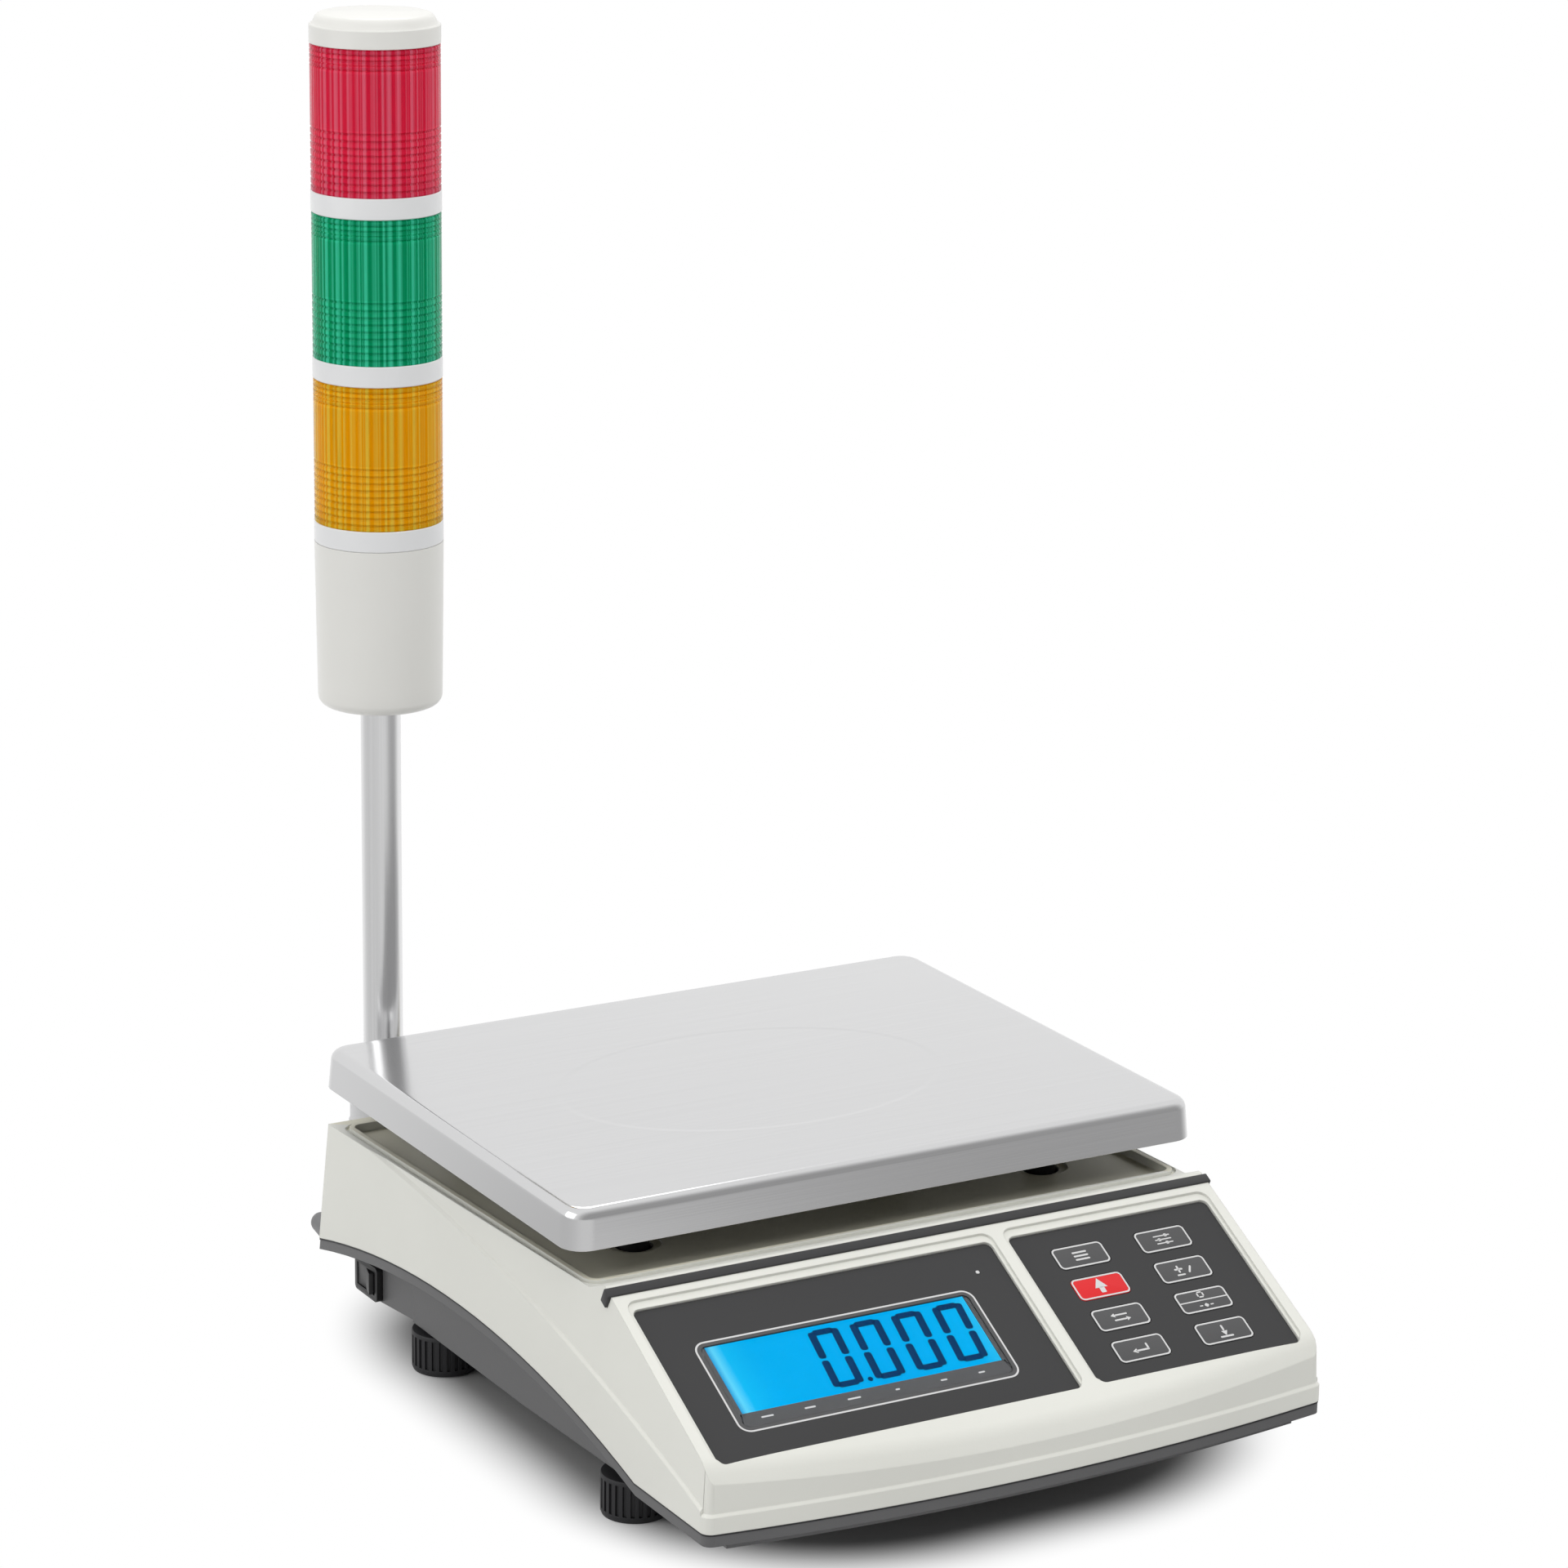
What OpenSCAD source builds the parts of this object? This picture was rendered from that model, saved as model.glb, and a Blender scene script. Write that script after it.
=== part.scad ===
// Bench scale with a folded pan, a sloped display panel and a signal-light tower.
// Millimetres, +Z up, table at z = 0, centred left to right and front to back.
// Inside the modules y = 0 is the centre of the pan and -y is the operator's side.

/* [Pan] */
// Width of the weighing pan
pan_w = 299; // [293:1:303]
// Depth of the weighing pan
pan_d = 236.5; // [230:0.5:240]
// Height of the pan's face above the table
pan_top = 132; // [130:0.5:135]
// Height of the pan's skirt
pan_skirt = 17; // [15:0.5:19]
// Thickness of the pan's sheet
pan_t = 1.2; // [0.8:0.1:1.5]
// Corner radius of the pan in plan
pan_corner = 10; // [7:0.5:13]
// Radius of the bend between face and skirt
pan_bend = 4.7; // [3.5:0.1:5.5]

/* [Pan support] */
// Half the spacing of the support posts, left to right
post_x = 98.5; // [97:0.5:101]
// Half the spacing of the support posts, front to back
post_y = 77; // [74:0.5:80]
// Diameter of a support post
post_d = 8.5; // [8:0.5:9]
// Diameter of a rubber cap
cap_d = 12.5; // [12:0.5:13.5]
// Height of the rubber caps
cap_h = 36; // [33:0.5:37]
// Rubber between the post's end and the pan
cap_top = 6; // [4:0.5:8]
// Diameter of the deck's holes around the posts
post_hole_d = 16; // [15.5:0.5:17]
// Diameter of the shallow ring sunk around each of these holes
post_ring_d = 23.5; // [22:0.5:25]
// Thickness of the cross-shaped support
cross_t = 7; // [6:0.25:7.5]
// Width of the support's arms
arm_w = 18; // [16:0.5:22]

/* [Housing] */
// Width of the housing over its sides
body_w = 290; // [287:0.5:292]
// Distance from the pan's centre to the front corners
front_y = 223; // [219:0.5:227]
// How far the bowed front stands ahead of its corners
front_bow = 11.5; // [9:0.25:13]
// Distance from the pan's centre to the rear wall's top edge
rear_y = 119; // [117:0.25:120.5]
// Lean of the rear wall from the vertical, in degrees
rear_slope = 11; // [9.5:0.25:12]
// Thickness of the plastic walls
wall = 2.6; // [2.2:0.1:3]
// Thickness of the deck and of the sloped panel
deck_t = 5.8; // [5.4:0.1:6.2]
// Distance from the pan's centre to the panel's top ridge
ridge_y = 134.5; // [133:0.25:136]
// Height of that ridge
ridge_z = 105.4; // [104.5:0.1:106.5]
// Distance from the pan's centre to the deck's front edge
deck_front_y = 122; // [121:0.25:123.5]
// Height of the deck at its front edge
deck_front_z = 101; // [100:0.1:101.8]
// Height of the deck at the rear wall
deck_rear_z = 94.5; // [93.8:0.1:95.5]
// Slope of the front panel in degrees
panel_slope = 27.8; // [27.2:0.1:28.2]
// Depth of the deck's recess
recess_h = 3; // [2:0.1:3.4]
// Width of the lip around the recess
lip_w = 2.4; // [1.8:0.1:3]
// Height of the step line across the fascia
belt_z = 41.3; // [40:0.1:43]
// How far the fascia and the shoulders stand back above that line and the crease
belt_out = 1.2; // [0.8:0.1:1.6]
// Radius of the upright corners at the front
corner_r = 4.5; // [4.25:0.25:5.5]
// Radius of the soft ridge between the panel and the fascia
ridge_r = 14.5; // [13:0.5:15]
// Lean of the shoulder above the side crease
shoulder_k = 0.045; // [0.03:0.005:0.06]
// Radius of the side crease
crease_r = 1160; // [1130:10:1200]

/* [Joint line and base] */
// Height of the arch's crown over the table
seam_crown = 55; // [54:0.25:56]
// Distance of the crown ahead of the pan's centre
seam_front = 10; // [6:0.5:14]
// Radius of the arch
seam_r = 578; // [565:1:590]
// Height of the joint line across the front
seam_z = 33.8; // [33.2:0.1:34.4]
// Height of the base's visible rim
rim_h = 5; // [4:0.25:6]
// Shadow gap between housing and base
seam_gap = 0.3; // [0.2:0.05:0.5]
// Step from the rim in to the tub's sides and rear
tub_inset = 12; // [11:0.25:13]
// Step from the rim in to the tub's front
tub_front = 6; // [5:0.25:8]
// Height of the tub's underside at the rear
tub_rear_z = 15; // [14.6:0.1:15.6]
// Height of the tub's underside at the front
tub_front_z = 24.6; // [24.2:0.1:26]
// Height of the tub's level middle
tub_mid_z = 20.4; // [20:0.1:20.8]

/* [Front panel] */
// Depth from the panel's frame to the overlays
overlay_set = 2.1; // [1.6:0.1:2.3]
// Thickness of the overlays
overlay_t = 0.8; // [0.5:0.1:1]
// Distance from the ridge down to the overlays
overlay_top = 13.8; // [13:0.1:14.6]
// Height of the overlays along the slope
overlay_h = 82; // [80:0.25:82.5]
// Left edge of the display overlay, from the middle
display_left = 136.2; // [134:0.1:136.8]
// Right edge of the display overlay, from the middle
display_right = 29.6; // [27:0.1:30.5]
// Left edge of the keypad overlay, from the middle
keypad_left = 38.4; // [37.4:0.1:41]
// Right edge of the keypad overlay, from the middle
keypad_right = 136.2; // [134:0.1:136.8]
// Width of the clear window
window_w = 124; // [118:0.5:125]
// Height of the clear window
window_h = 44; // [40:0.5:45]
// Centre of the window, left of the middle
window_x = 55.3; // [54:0.1:57]
// Centre of the window below the overlays' top edge
window_s = 44.4; // [43:0.1:46]
// Width of a key
key_w = 24.6; // [22:0.2:26]
// Height of a key
key_h = 11.7; // [10:0.1:12.5]
// Corner radius of a key
key_r = 2.4; // [1.5:0.1:3]
// Spacing of the two key columns
key_dx = 40.6; // [38:0.2:42]
// Spacing of the key rows
key_dy = 17.4; // [16.5:0.1:17.8]
// Centre of the left key column, from the middle
key_x = 66; // [64:0.2:67]
// Centre of the top key row below the overlays' top edge
key_s = 15.6; // [14.5:0.1:16.4]
// Travel of a key
key_travel = 0.5; // [0.3:0.05:0.5]
// Distance from the ridge to the trim strip
trim_s = 1.4; // [1:0.1:1.8]
// Width of the trim strip
trim_w = 4.6; // [4:0.1:5]
// How far the strip stands proud
trim_out = 0.7; // [0.4:0.1:1]

/* [Weighing cell] */
// Length of the load cell
cell_l = 130; // [126:1:132]
// Width of the load cell
cell_w = 30; // [28:0.5:32]
// Height of the load cell
cell_h = 22; // [20:0.5:23]
// Height of the load cell's underside above the table
cell_z = 37; // [36.5:0.1:38]
// Thickness of the plate under its fixed end
plate_t = 4; // [3:0.25:5]
// Height of the block on its live end
block_h = 20; // [18:0.25:20.5]

/* [Feet] */
// Half the spacing of the feet, left to right
foot_x = 121.5; // [120:0.25:122]
// Distance of the front feet ahead of the pan's centre
foot_front = 122; // [120:0.5:125]
// Distance of the rear feet behind the pan's centre
foot_rear = 53; // [50:0.5:56]
// Diameter of a foot's knob
foot_d = 28; // [26:0.5:29]
// Height of a foot's knob
foot_h = 18.5; // [17:0.25:19]
// Diameter of a foot's stud
stud_d = 8; // [7:0.25:8.5]

/* [Pole and tower] */
// Position of the pole left of the middle
pole_x = 108.75; // [106:0.25:112]
// Position of the pole behind the pan's centre
pole_y = 139; // [138:0.25:142]
// Diameter of the pole
pole_d = 17.4; // [16:0.2:18.4]
// Diameter of the clamp collar
collar_d = 30; // [28:0.5:31]
// Height of the clamp collar
collar_h = 25; // [22:0.5:27]
// Height of the bracket's shelf above the table
shelf_z = 82; // [80.5:0.25:83]
// Thickness of the bracket's sheet
bracket_t = 3; // [2.5:0.1:3.2]
// Height of the tower's underside above the table
tower_z = 276; // [260:1:300]
// Diameter of the tower
tower_d = 55.5; // [53:0.25:58]
// Height of the tower's base housing
tower_base_h = 72.6; // [66:0.2:78]
// Height of a lens
lens_h = 62; // [56:0.5:66]
// Height of a ring
ring_h = 9.2; // [8:0.1:11]
// Height of the cap's band
band_h = 7.9; // [7:0.1:9]
// Height of the cap's bevelled top
crown_h = 4.4; // [3.8:0.2:5]

/* [Hidden] */
$fn = 48;
big = 720;
fit = 0.05;
slip = 0.3;
hw = body_w / 2;
bow_r = (hw * hw + front_bow * front_bow) / (2 * front_bow);
bow_cy = bow_r - front_y - front_bow;
corner_a = asin((hw - corner_r) / (bow_r - corner_r));
corner_y = bow_cy - (bow_r - corner_r) * cos(corner_a);
ridge_n = 4;
ridge_q = 28;
rear_out = pole_y + tower_d / 2;
mid_y = (rear_out - front_y - front_bow) / 2;
deck_a = atan((deck_front_z - deck_rear_z) / (deck_front_y + rear_y));
crease_y = 131;
crease_z = 97.2;
function rear_at(z) = rear_y + (deck_rear_z - z) * tan(rear_slope);
function deck_at(y) = deck_rear_z + (rear_y - y) * tan(deck_a);
seam_rear = seam_crown - seam_r + sqrt(pow(seam_r, 2) - pow(130 + seam_front, 2));
tub_rear = rear_at(seam_rear) - 12;
tub_x = hw - tub_inset;
neck_x = tub_x - 1.5;
neck_y = foot_rear + 7;
rise_y = -45;
function tub_at(y) = y > neck_y ? tub_mid_z + (y - neck_y) * (tub_rear_z - tub_mid_z) / (tub_rear - neck_y)
    : y < rise_y ? tub_mid_z + (rise_y - y) * (tub_front_z - tub_mid_z) / (rise_y + front_y) : tub_mid_z;
pan_under = pan_top - pan_t;
block_z = cell_z + cell_h;
cross_z = block_z + block_h;
post_top = pan_under - cap_top;
pocket_z = -overlay_set - overlay_t;
board_z = -deck_t - 3.1;
board_t = 1.6;
lcd_t = 5;
split_z = 46;
screw_front = [100, -128];
screw_rear = [60, 108];
main_z = 38;
main_x = 54;
main_y0 = -198;
main_y1 = -146;
battery = [101, 70, 47];
battery_at = [5, 28, 26];
strap_x = 78;
switch_y = 104.5;
switch_z = 25.6;
rocker_x = neck_x - 0.5;
inlet_x = 20;
inlet_z = 28.6;
gland_x = 6.5 - hw;
gland_z = seam_rear;
rib_x = tub_x - 18;
level_x = 40;
level_y = -42;
level_z = deck_at(level_y) - recess_h - 1;
plate_w = 44;
shelf_r = 15.5;
pan_y = -1.5;
spigot_r = 7.5;
nut_h = 6;
ring_z = [for (i = [0 : 2]) tower_z + tower_base_h + i * (ring_h + lens_h)];
lens_z = [for (i = [0 : 2]) ring_z[i] + ring_h];
cap_z = lens_z[2] + lens_h;
hub_h = 25;
ivory = [0.87, 0.87, 0.84];
dark = [0.29, 0.29, 0.3];
grey = [0.4, 0.4, 0.41];
black = [0.08, 0.08, 0.09];
steel = [0.78, 0.78, 0.79];
silver = [0.84, 0.85, 0.86];
alloy = [0.7, 0.71, 0.73];
green_board = [0.08, 0.32, 0.16];
brass = [0.75, 0.6, 0.28];

// Frames of the sloped and leaning faces

module at() translate([0, -mid_y, 0]) children();

module on_panel() translate([0, -ridge_y, ridge_z]) rotate([panel_slope, 0, 0]) children();

module on_overlay() on_panel() translate([0, -overlay_top, -overlay_set]) children();

module on_deck() translate([0, -deck_front_y, deck_front_z]) rotate([-deck_a, 0, 0]) children();

module on_rear(x, z) translate([x, rear_at(z), z]) rotate([rear_slope - 90, 0, 0]) children();

module on_pole(z) translate([-pole_x, pole_y, z]) children();

module both() for (s = [-1, 1]) scale_x(s) children();

module scale_x(s) if (s < 0) mirror([1, 0, 0]) children(); else children();

// Shared shapes

module rrect(w, d, r) {
    square([w - 2 * r, d], center = true);
    square([w, d - 2 * r], center = true);
    for (x = [-1, 1], y = [-1, 1])
        translate([x * (w / 2 - r), y * (d / 2 - r)]) circle(r = r);
}

module slab(w, d, h, r) linear_extrude(height = h) rrect(w, d, r);

module block(x0, x1, y0, y1, z0, z1) translate([x0, y0, z0]) cube([x1 - x0, y1 - y0, z1 - z0]);

module along_x(w) rotate([90, 0, 90]) linear_extrude(height = w, center = true) children();

// Edge section of the pan: a quarter bend between face and skirt
function bend_pts(rc, h, re) = concat([[0, 0], [rc, 0]],
    [for (i = [0 : 8]) [rc - re + re * cos(i * 11.25), h - re + re * sin(i * 11.25)]], [[0, h]]);

module bent_box(w, d, h, rc, re) {
    block(rc - w / 2, w / 2 - rc, rc - d / 2, d / 2 - rc, 0, h);
    for (s = [0, 180]) rotate([0, 0, s]) {
        translate([w / 2 - rc, d / 2 - rc, 0]) rotate([90, 0, 0])
            linear_extrude(height = d - 2 * rc) polygon(bend_pts(rc, h, re));
        translate([rc - w / 2, d / 2 - rc, 0]) rotate([90, 0, 90])
            linear_extrude(height = w - 2 * rc) polygon(bend_pts(rc, h, re));
        translate([w / 2 - rc, d / 2 - rc, 0])
            rotate_extrude(angle = 90) polygon(bend_pts(rc, h, re));
        translate([w / 2 - rc, rc - d / 2, 0]) rotate([0, 0, -90])
            rotate_extrude(angle = 90) polygon(bend_pts(rc, h, re));
    }
}

// Outer form of the case, drawn in by t at the sides, td at the deck and the panel

module side_prism(t, td) {
    rc = t / cos(rear_slope);
    pz = td / cos(panel_slope);
    far = front_y + front_bow + 4;
    fz = ridge_z - pz - (far - ridge_y) * tan(panel_slope);
    low_z = deck_front_z - td;
    low_y = ridge_y + (ridge_z - pz - low_z) / tan(panel_slope);
    z0 = -2 * sign(t);
    along_x(body_w + 8) polygon(concat(
        [[rear_at(z0) - rc, z0], [rear_at(deck_rear_z - td) - rc, deck_rear_z - td],
            [-deck_front_y, low_z]],
        td > 0 ? [[-low_y, low_z]] : [[2 - ridge_y, ridge_z], [-ridge_y, ridge_z]],
        [[-far, fz], [-far, z0]]));
}

// A round form about an upright axis that steps in over a slanted edge at the step line
module belted(r, t, tilt, $fn) {
    z = belt_z - t - belt_out / 2;
    r1 = max(r - t, 0.4);
    r2 = max(r - t - belt_out, 0.2);
    translate([0, 0, -2]) cylinder(r = r1, h = z + 2);
    translate([0, 0, z]) {
        cylinder(r1 = r1, r2 = r2, h = belt_out);
        rotate([0, tilt, 0]) cylinder(r = r2, h = 160);
    }
}

module plan_form(t) difference() {
    intersection() {
        block(t - hw, hw - t, -400, 400, -2, 200);
        translate([0, bow_cy, 0]) belted(bow_r, t, 0, big);
    }
    both() translate([corner_r - hw, corner_y, 0]) difference() {
        e = corner_r + 4;
        translate([0, 0, -3]) linear_extrude(height = 210)
            polygon([[0, 0], [-e, 0], [-e, -e], [-e * sin(corner_a), -e * cos(corner_a)]]);
        belted(corner_r - 0.02, t, atan(shoulder_k), 48);
    }
}

// The shoulder stands back above the crease's arc, and its planes lean inwards from there
module shoulder(t) difference() {
    for (y = [60, -10, -80, -150, -210]) {
        m = (crease_y - y) / crease_r;
        z = crease_z - pow(crease_y - y, 2) / (2 * crease_r);
        translate([t + belt_out - hw, y, z])
            rotate([0, asin(shoulder_k / sqrt(1 + pow(shoulder_k, 2) * (1 + m * m))), atan(shoulder_k * m)])
                block(-40, 0, -400, 400, -10, 200);
    }
    translate([t - hw - 10, crease_y, crease_z - crease_r]) rotate([0, 90, 0])
        cylinder(r1 = crease_r - t - belt_out / 2 - 10, r2 = crease_r - t - belt_out / 2 + 50,
            h = 60, $fn = big);
}

module case_form(t, td) difference() {
    intersection() {
        side_prism(t, td);
        plan_form(t);
    }
    both() shoulder(t);
}

// Round from the panel to the fascia's upper edge: tilted cylinders that touch one circle in the middle
module ridge_round() intersection_for(i = [1 : ridge_n]) {
    q = ridge_q + (i - 1) * (90 - panel_slope - ridge_q) / ridge_n;
    cy = belt_out - front_y - front_bow + ridge_r;
    cz = ridge_z + (cy + ridge_y) * tan(panel_slope) - ridge_r / cos(panel_slope);
    sag = front_bow * (1 - tan(panel_slope) * tan(q)) * cos(q);
    r = hw * hw / (2 * sag) + sag / 2;
    translate([0, cy - ridge_r * cos(q), cz + ridge_r * sin(q)]) rotate([-q, 0, 0])
        translate([0, r, -600]) cylinder(r = r, h = 1200, $fn = big);
}

// Everything under the joint line, raised by dz
module below_seam(dz) {
    translate([0, -seam_front, seam_crown - seam_r + dz]) rotate([0, 90, 0])
        cylinder(r = seam_r, h = body_w + 20, center = true, $fn = big);
    block(-hw - 10, hw + 10, -400, 400, -90, seam_z + dz);
}

module tub_form(t, up) intersection() {
    union() {
        block(t - tub_x, tub_x - t, -300, neck_y - t, -10, 100);
        block(t - neck_x, neck_x - t, -300, tub_rear, -10, 100);
    }
    along_x(2 * tub_x + 10) polygon(concat([[tub_rear - t, 90], [-300, 90]],
        [for (y = [-300, rise_y, neck_y, tub_rear]) [min(y, tub_rear - t), tub_at(y) + up]]));
    translate([0, bow_cy, -5]) cylinder(r = bow_r - tub_front - t, h = 120, $fn = big);
}

module at_posts() for (x = [-1, 1], y = [-1, 1]) translate([x * post_x, y * post_y, 0]) children();

module at_feet() for (x = [-1, 1], y = [-foot_front, foot_rear])
    translate([x * foot_x, y, 0]) children();

module at_case_screws() for (x = [-1, 1], p = [screw_front, screw_rear])
    translate([x * p[0], p[1], 0]) children();

module at_board_screws() for (x = [17.2 - display_left, keypad_right - 12.2], y = [-11.2, -72.8])
    translate([x, y - overlay_top, 0]) children();

module at_main_screws() for (x = [-main_x, main_x], y = [main_y0, main_y1])
    translate([x, y, 0]) children();

module at_strap_screws() for (y = [-6.5, battery[1] + 6.5])
    translate([strap_x, battery_at[1] + y, 0]) children();

module at_keys() for (c = [0, 1], r = [0 : 3]) at_key(c, r) children();

module at_key(c, r) translate([key_x + c * key_dx, -key_s - r * key_dy, 0]) children();

module at_plate_screws() for (x = [-15, 15], z = [61, 73]) on_rear(x - pole_x, z) children();

// Base

module base_tray() color(grey) at() difference() {
    union() {
        difference() {
            union() {
                intersection() {
                    case_form(0.4, 0);
                    difference() {
                        below_seam(-seam_gap);
                        below_seam(-seam_gap - rim_h);
                    }
                }
                intersection() {
                    tub_form(0, 0);
                    below_seam(-seam_gap - 1);
                }
                intersection() {
                    difference() {
                        case_form(wall + slip, deck_t);
                        case_form(wall + slip + 1.8, deck_t);
                    }
                    difference() {
                        below_seam(4);
                        below_seam(-seam_gap - 1);
                    }
                }
            }
            tub_form(wall, wall);
        }
        at_feet_bosses();
        at_case_bosses();
        block(-68, -22, -20, 20, tub_at(20) + 1, cell_z - plate_t);
        at_main_bosses();
        for (y = [4, battery[1] - 10])
            translate([battery_at[0], battery_at[1] + y, tub_at(battery_at[1] + y) + 1])
                cube([battery[0], 6, battery_at[2] - tub_at(battery_at[1] + y) - 1]);
        for (y = [battery_at[1] - 6.5, battery_at[1] + battery[1] + 6.5])
            translate([strap_x, y, tub_at(y) + 1.6]) cylinder(d = 9, h = battery_at[2] - tub_at(y) - 1.6);
        both() block(rib_x, tub_x - wall + 0.5, -30, -27, tub_at(-27) + 1, 36);
    }
    at_feet() translate([0, 0, 10]) cylinder(d = stud_d + 3 + 2 * fit, h = 60);
    at_case_screws() {
        translate([0, 0, 10]) cylinder(d = 9, h = 22);
        translate([0, 0, 10]) cylinder(d = 4.6, h = 60);
    }
    for (x = [-57, -40]) translate([x, 0, 0]) {
        cylinder(d = 13, h = cell_z - plate_t - 5);
        cylinder(d = 6.6, h = 60);
    }
    at_main_screws() translate([0, 0, main_z - 7]) cylinder(d = 2.6, h = 20);
    at_strap_screws() translate([0, 0, battery_at[2] - 2.2]) cylinder(d = 2.6, h = 9);
    block(-neck_x - 5, wall - neck_x + 3, switch_y - 9.4, switch_y + 9.4, switch_z - 5.9, switch_z + 5.9);
    translate([inlet_x, tub_rear - 8, inlet_z]) rotate([-90, 0, 0]) cylinder(d = 8 + 2 * fit, h = 20);
    on_rear(gland_x, gland_z) translate([0, 0, -14]) cylinder(d = 7 + 2 * fit, h = 24);
    on_rear(gland_x, gland_z) translate([0, 0, -14]) cylinder(d = 8, h = 8.9);
}

module at_feet_bosses() for (x = [-1, 1], y = [-foot_front, foot_rear])
    translate([x * foot_x, y, tub_at(y) + 1]) cylinder(d = 20, h = 42 - tub_at(y) - 1);

module at_case_bosses() for (x = [-1, 1], p = [screw_front, screw_rear])
    translate([x * p[0], p[1], tub_at(p[1]) + 1]) cylinder(d = 12, h = split_z - tub_at(p[1]) - 1.2);

module at_main_bosses() for (x = [-main_x, main_x], y = [main_y0, main_y1])
    translate([x, y, tub_at(y) + 1]) cylinder(d = 7.5, h = main_z - tub_at(y) - 1);

// Upper housing

module recess_slab(off, h) {
    y0 = 2.5 + off;
    y1 = (deck_front_y + rear_y) / cos(deck_a) - 7 - off;
    translate([0, (y0 + y1) / 2, 0]) slab(body_w - 9 - 2 * off, y1 - y0, h, 6.5 - off);
}

module overlay_pocket(x0, x1, grow, h) translate([(x0 + x1) / 2, -overlay_h / 2, 0])
    slab(x1 - x0 + 2 * grow, overlay_h + 2 * grow, h, 3 + grow);

module trim_form(grow) {
    w = body_w - 3;
    translate([-w / 2 - grow, -trim_s - trim_w - grow, -1.3 - grow])
        cube([w + 2 * grow, trim_w + 2 * grow, 1.3 + trim_out + grow]);
    both() translate([-w / 2 - grow, -trim_s - trim_w - grow, -6 - grow])
        cube([1.8 + 2 * grow, trim_w + 2 * grow, 6 + trim_out + grow]);
}

module upper_housing() color(ivory) at() difference() {
    union() {
        difference() {
            intersection() {
                case_form(0, 0);
                ridge_round();
            }
            case_form(wall, deck_t);
        }
        on_deck() translate([0, 0, -2]) difference() {
            recess_slab(0, 2.8);
            translate([0, 0, -1]) recess_slab(lip_w, 6);
        }
        intersection() {
            case_form(1, 1.5);
            union() {
                at_case_screws() translate([0, 0, split_z]) cylinder(d = 12, h = 80);
                on_panel() at_board_screws() translate([0, 0, board_z]) cylinder(d = 7.5, h = 6);
            }
        }
    }
    below_seam(0);
    on_deck() {
        translate([0, 0, -recess_h]) recess_slab(lip_w, 20);
        translate([0, 0, -1]) difference() {
            recess_slab(-1.6, 1.1);
            translate([0, 0, -1]) recess_slab(0, 4);
        }
    }
    at_posts() translate([0, 0, 70]) cylinder(d = post_hole_d, h = 40);
    for (x = [-1, 1], y = [-1, 1])
        translate([x * post_x, y * post_y, deck_at(y * post_y) - recess_h - 1])
            cylinder(d = post_ring_d, h = 20);
    translate([level_x, level_y, level_z]) cylinder(d = 20 + 2 * slip, h = 20);
    at_case_screws() translate([0, 0, split_z - 1]) cylinder(d = 4.1, h = 19);
    on_panel() at_board_screws() translate([0, 0, board_z - 1]) cylinder(d = 2.6, h = 5);
    on_panel() trim_form(0.05);
    on_overlay() {
        for (p = [[-display_left, display_right], [keypad_left, keypad_right]]) {
            translate([0, 0, -overlay_t]) overlay_pocket(p[0], p[1], slip, 20);
            translate([0, 2.4, overlay_set - 1.1]) overlay_pocket(p[0], p[1], 1.7, 20);
        }
        translate([-window_x, -window_s, -deck_t]) slab(window_w + 5.4, window_h + 5.4, 20, 1.5);
        at_keys() translate([0, 0, -deck_t]) slab(key_w + 2 * slip, key_h + 2 * slip, 20, key_r + slip);
    }
    on_rear(gland_x, gland_z) translate([0, 0, -12]) cylinder(d = 7 + 2 * fit, h = 24);
    at_plate_screws() translate([0, 0, -12]) cylinder(d = 4.4, h = 24);
}

module trim_strip() color(dark) at() on_panel() trim_form(0);

// Front panel

module display_overlay() color(dark) at() on_overlay() difference() {
    translate([0, 0, -overlay_t]) overlay_pocket(-display_left, display_right, 0, overlay_t);
    translate([-window_x, -window_s, -2]) slab(window_w, window_h, 4, 4);
}

module keypad_overlay() color(dark) at() on_overlay() difference() {
    translate([0, 0, -overlay_t]) overlay_pocket(keypad_left, keypad_right, 0, overlay_t);
    at_keys() translate([0, 0, -2]) slab(key_w + 2 * slip, key_h + 2 * slip, 4, key_r + slip);
}

module lcd_window() color([0.75, 0.85, 0.9, 0.35]) at() on_overlay()
    translate([-window_x, -window_s, -overlay_t]) slab(window_w - 0.1, window_h - 0.1, overlay_t, 3.95);

module lcd_module() color([0, 0.6, 0.92]) at() on_panel()
    translate([-window_x, -overlay_top - window_s, board_z]) slab(window_w + 3, window_h + 3, lcd_t, 1);

module display_board() color(green_board) at() on_panel() difference() {
    union() {
        translate([(keypad_right - display_left) / 2 + 2.5, -overlay_top - 41.2, board_z - board_t])
            slab(display_left + keypad_right - 16.4, overlay_h - 10, board_t, 2);
        translate([0, -overlay_top, 0]) at_keys()
            translate([0, 0, board_z]) cylinder(d = 7, h = key_floor() - key_travel - 0.15 - board_z);
    }
    at_board_screws() translate([0, 0, board_z - 5]) cylinder(d = 3.4, h = 9);
}

function key_floor() = -overlay_set - 2.6;

module key_cap(c, r, tint) color(tint) at() on_overlay() at_key(c, r)
    translate([0, 0, -2.6]) slab(key_w, key_h, 2.8, key_r);

module key_1() key_cap(0, 0, dark);

module key_2() key_cap(0, 1, [0.8, 0.1, 0.12]);

module key_3() key_cap(0, 2, dark);

module key_4() key_cap(0, 3, dark);

module key_5() key_cap(1, 0, dark);

module key_6() key_cap(1, 1, dark);

module key_7() key_cap(1, 2, dark);

module key_8() key_cap(1, 3, dark);

// Electronics

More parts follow.
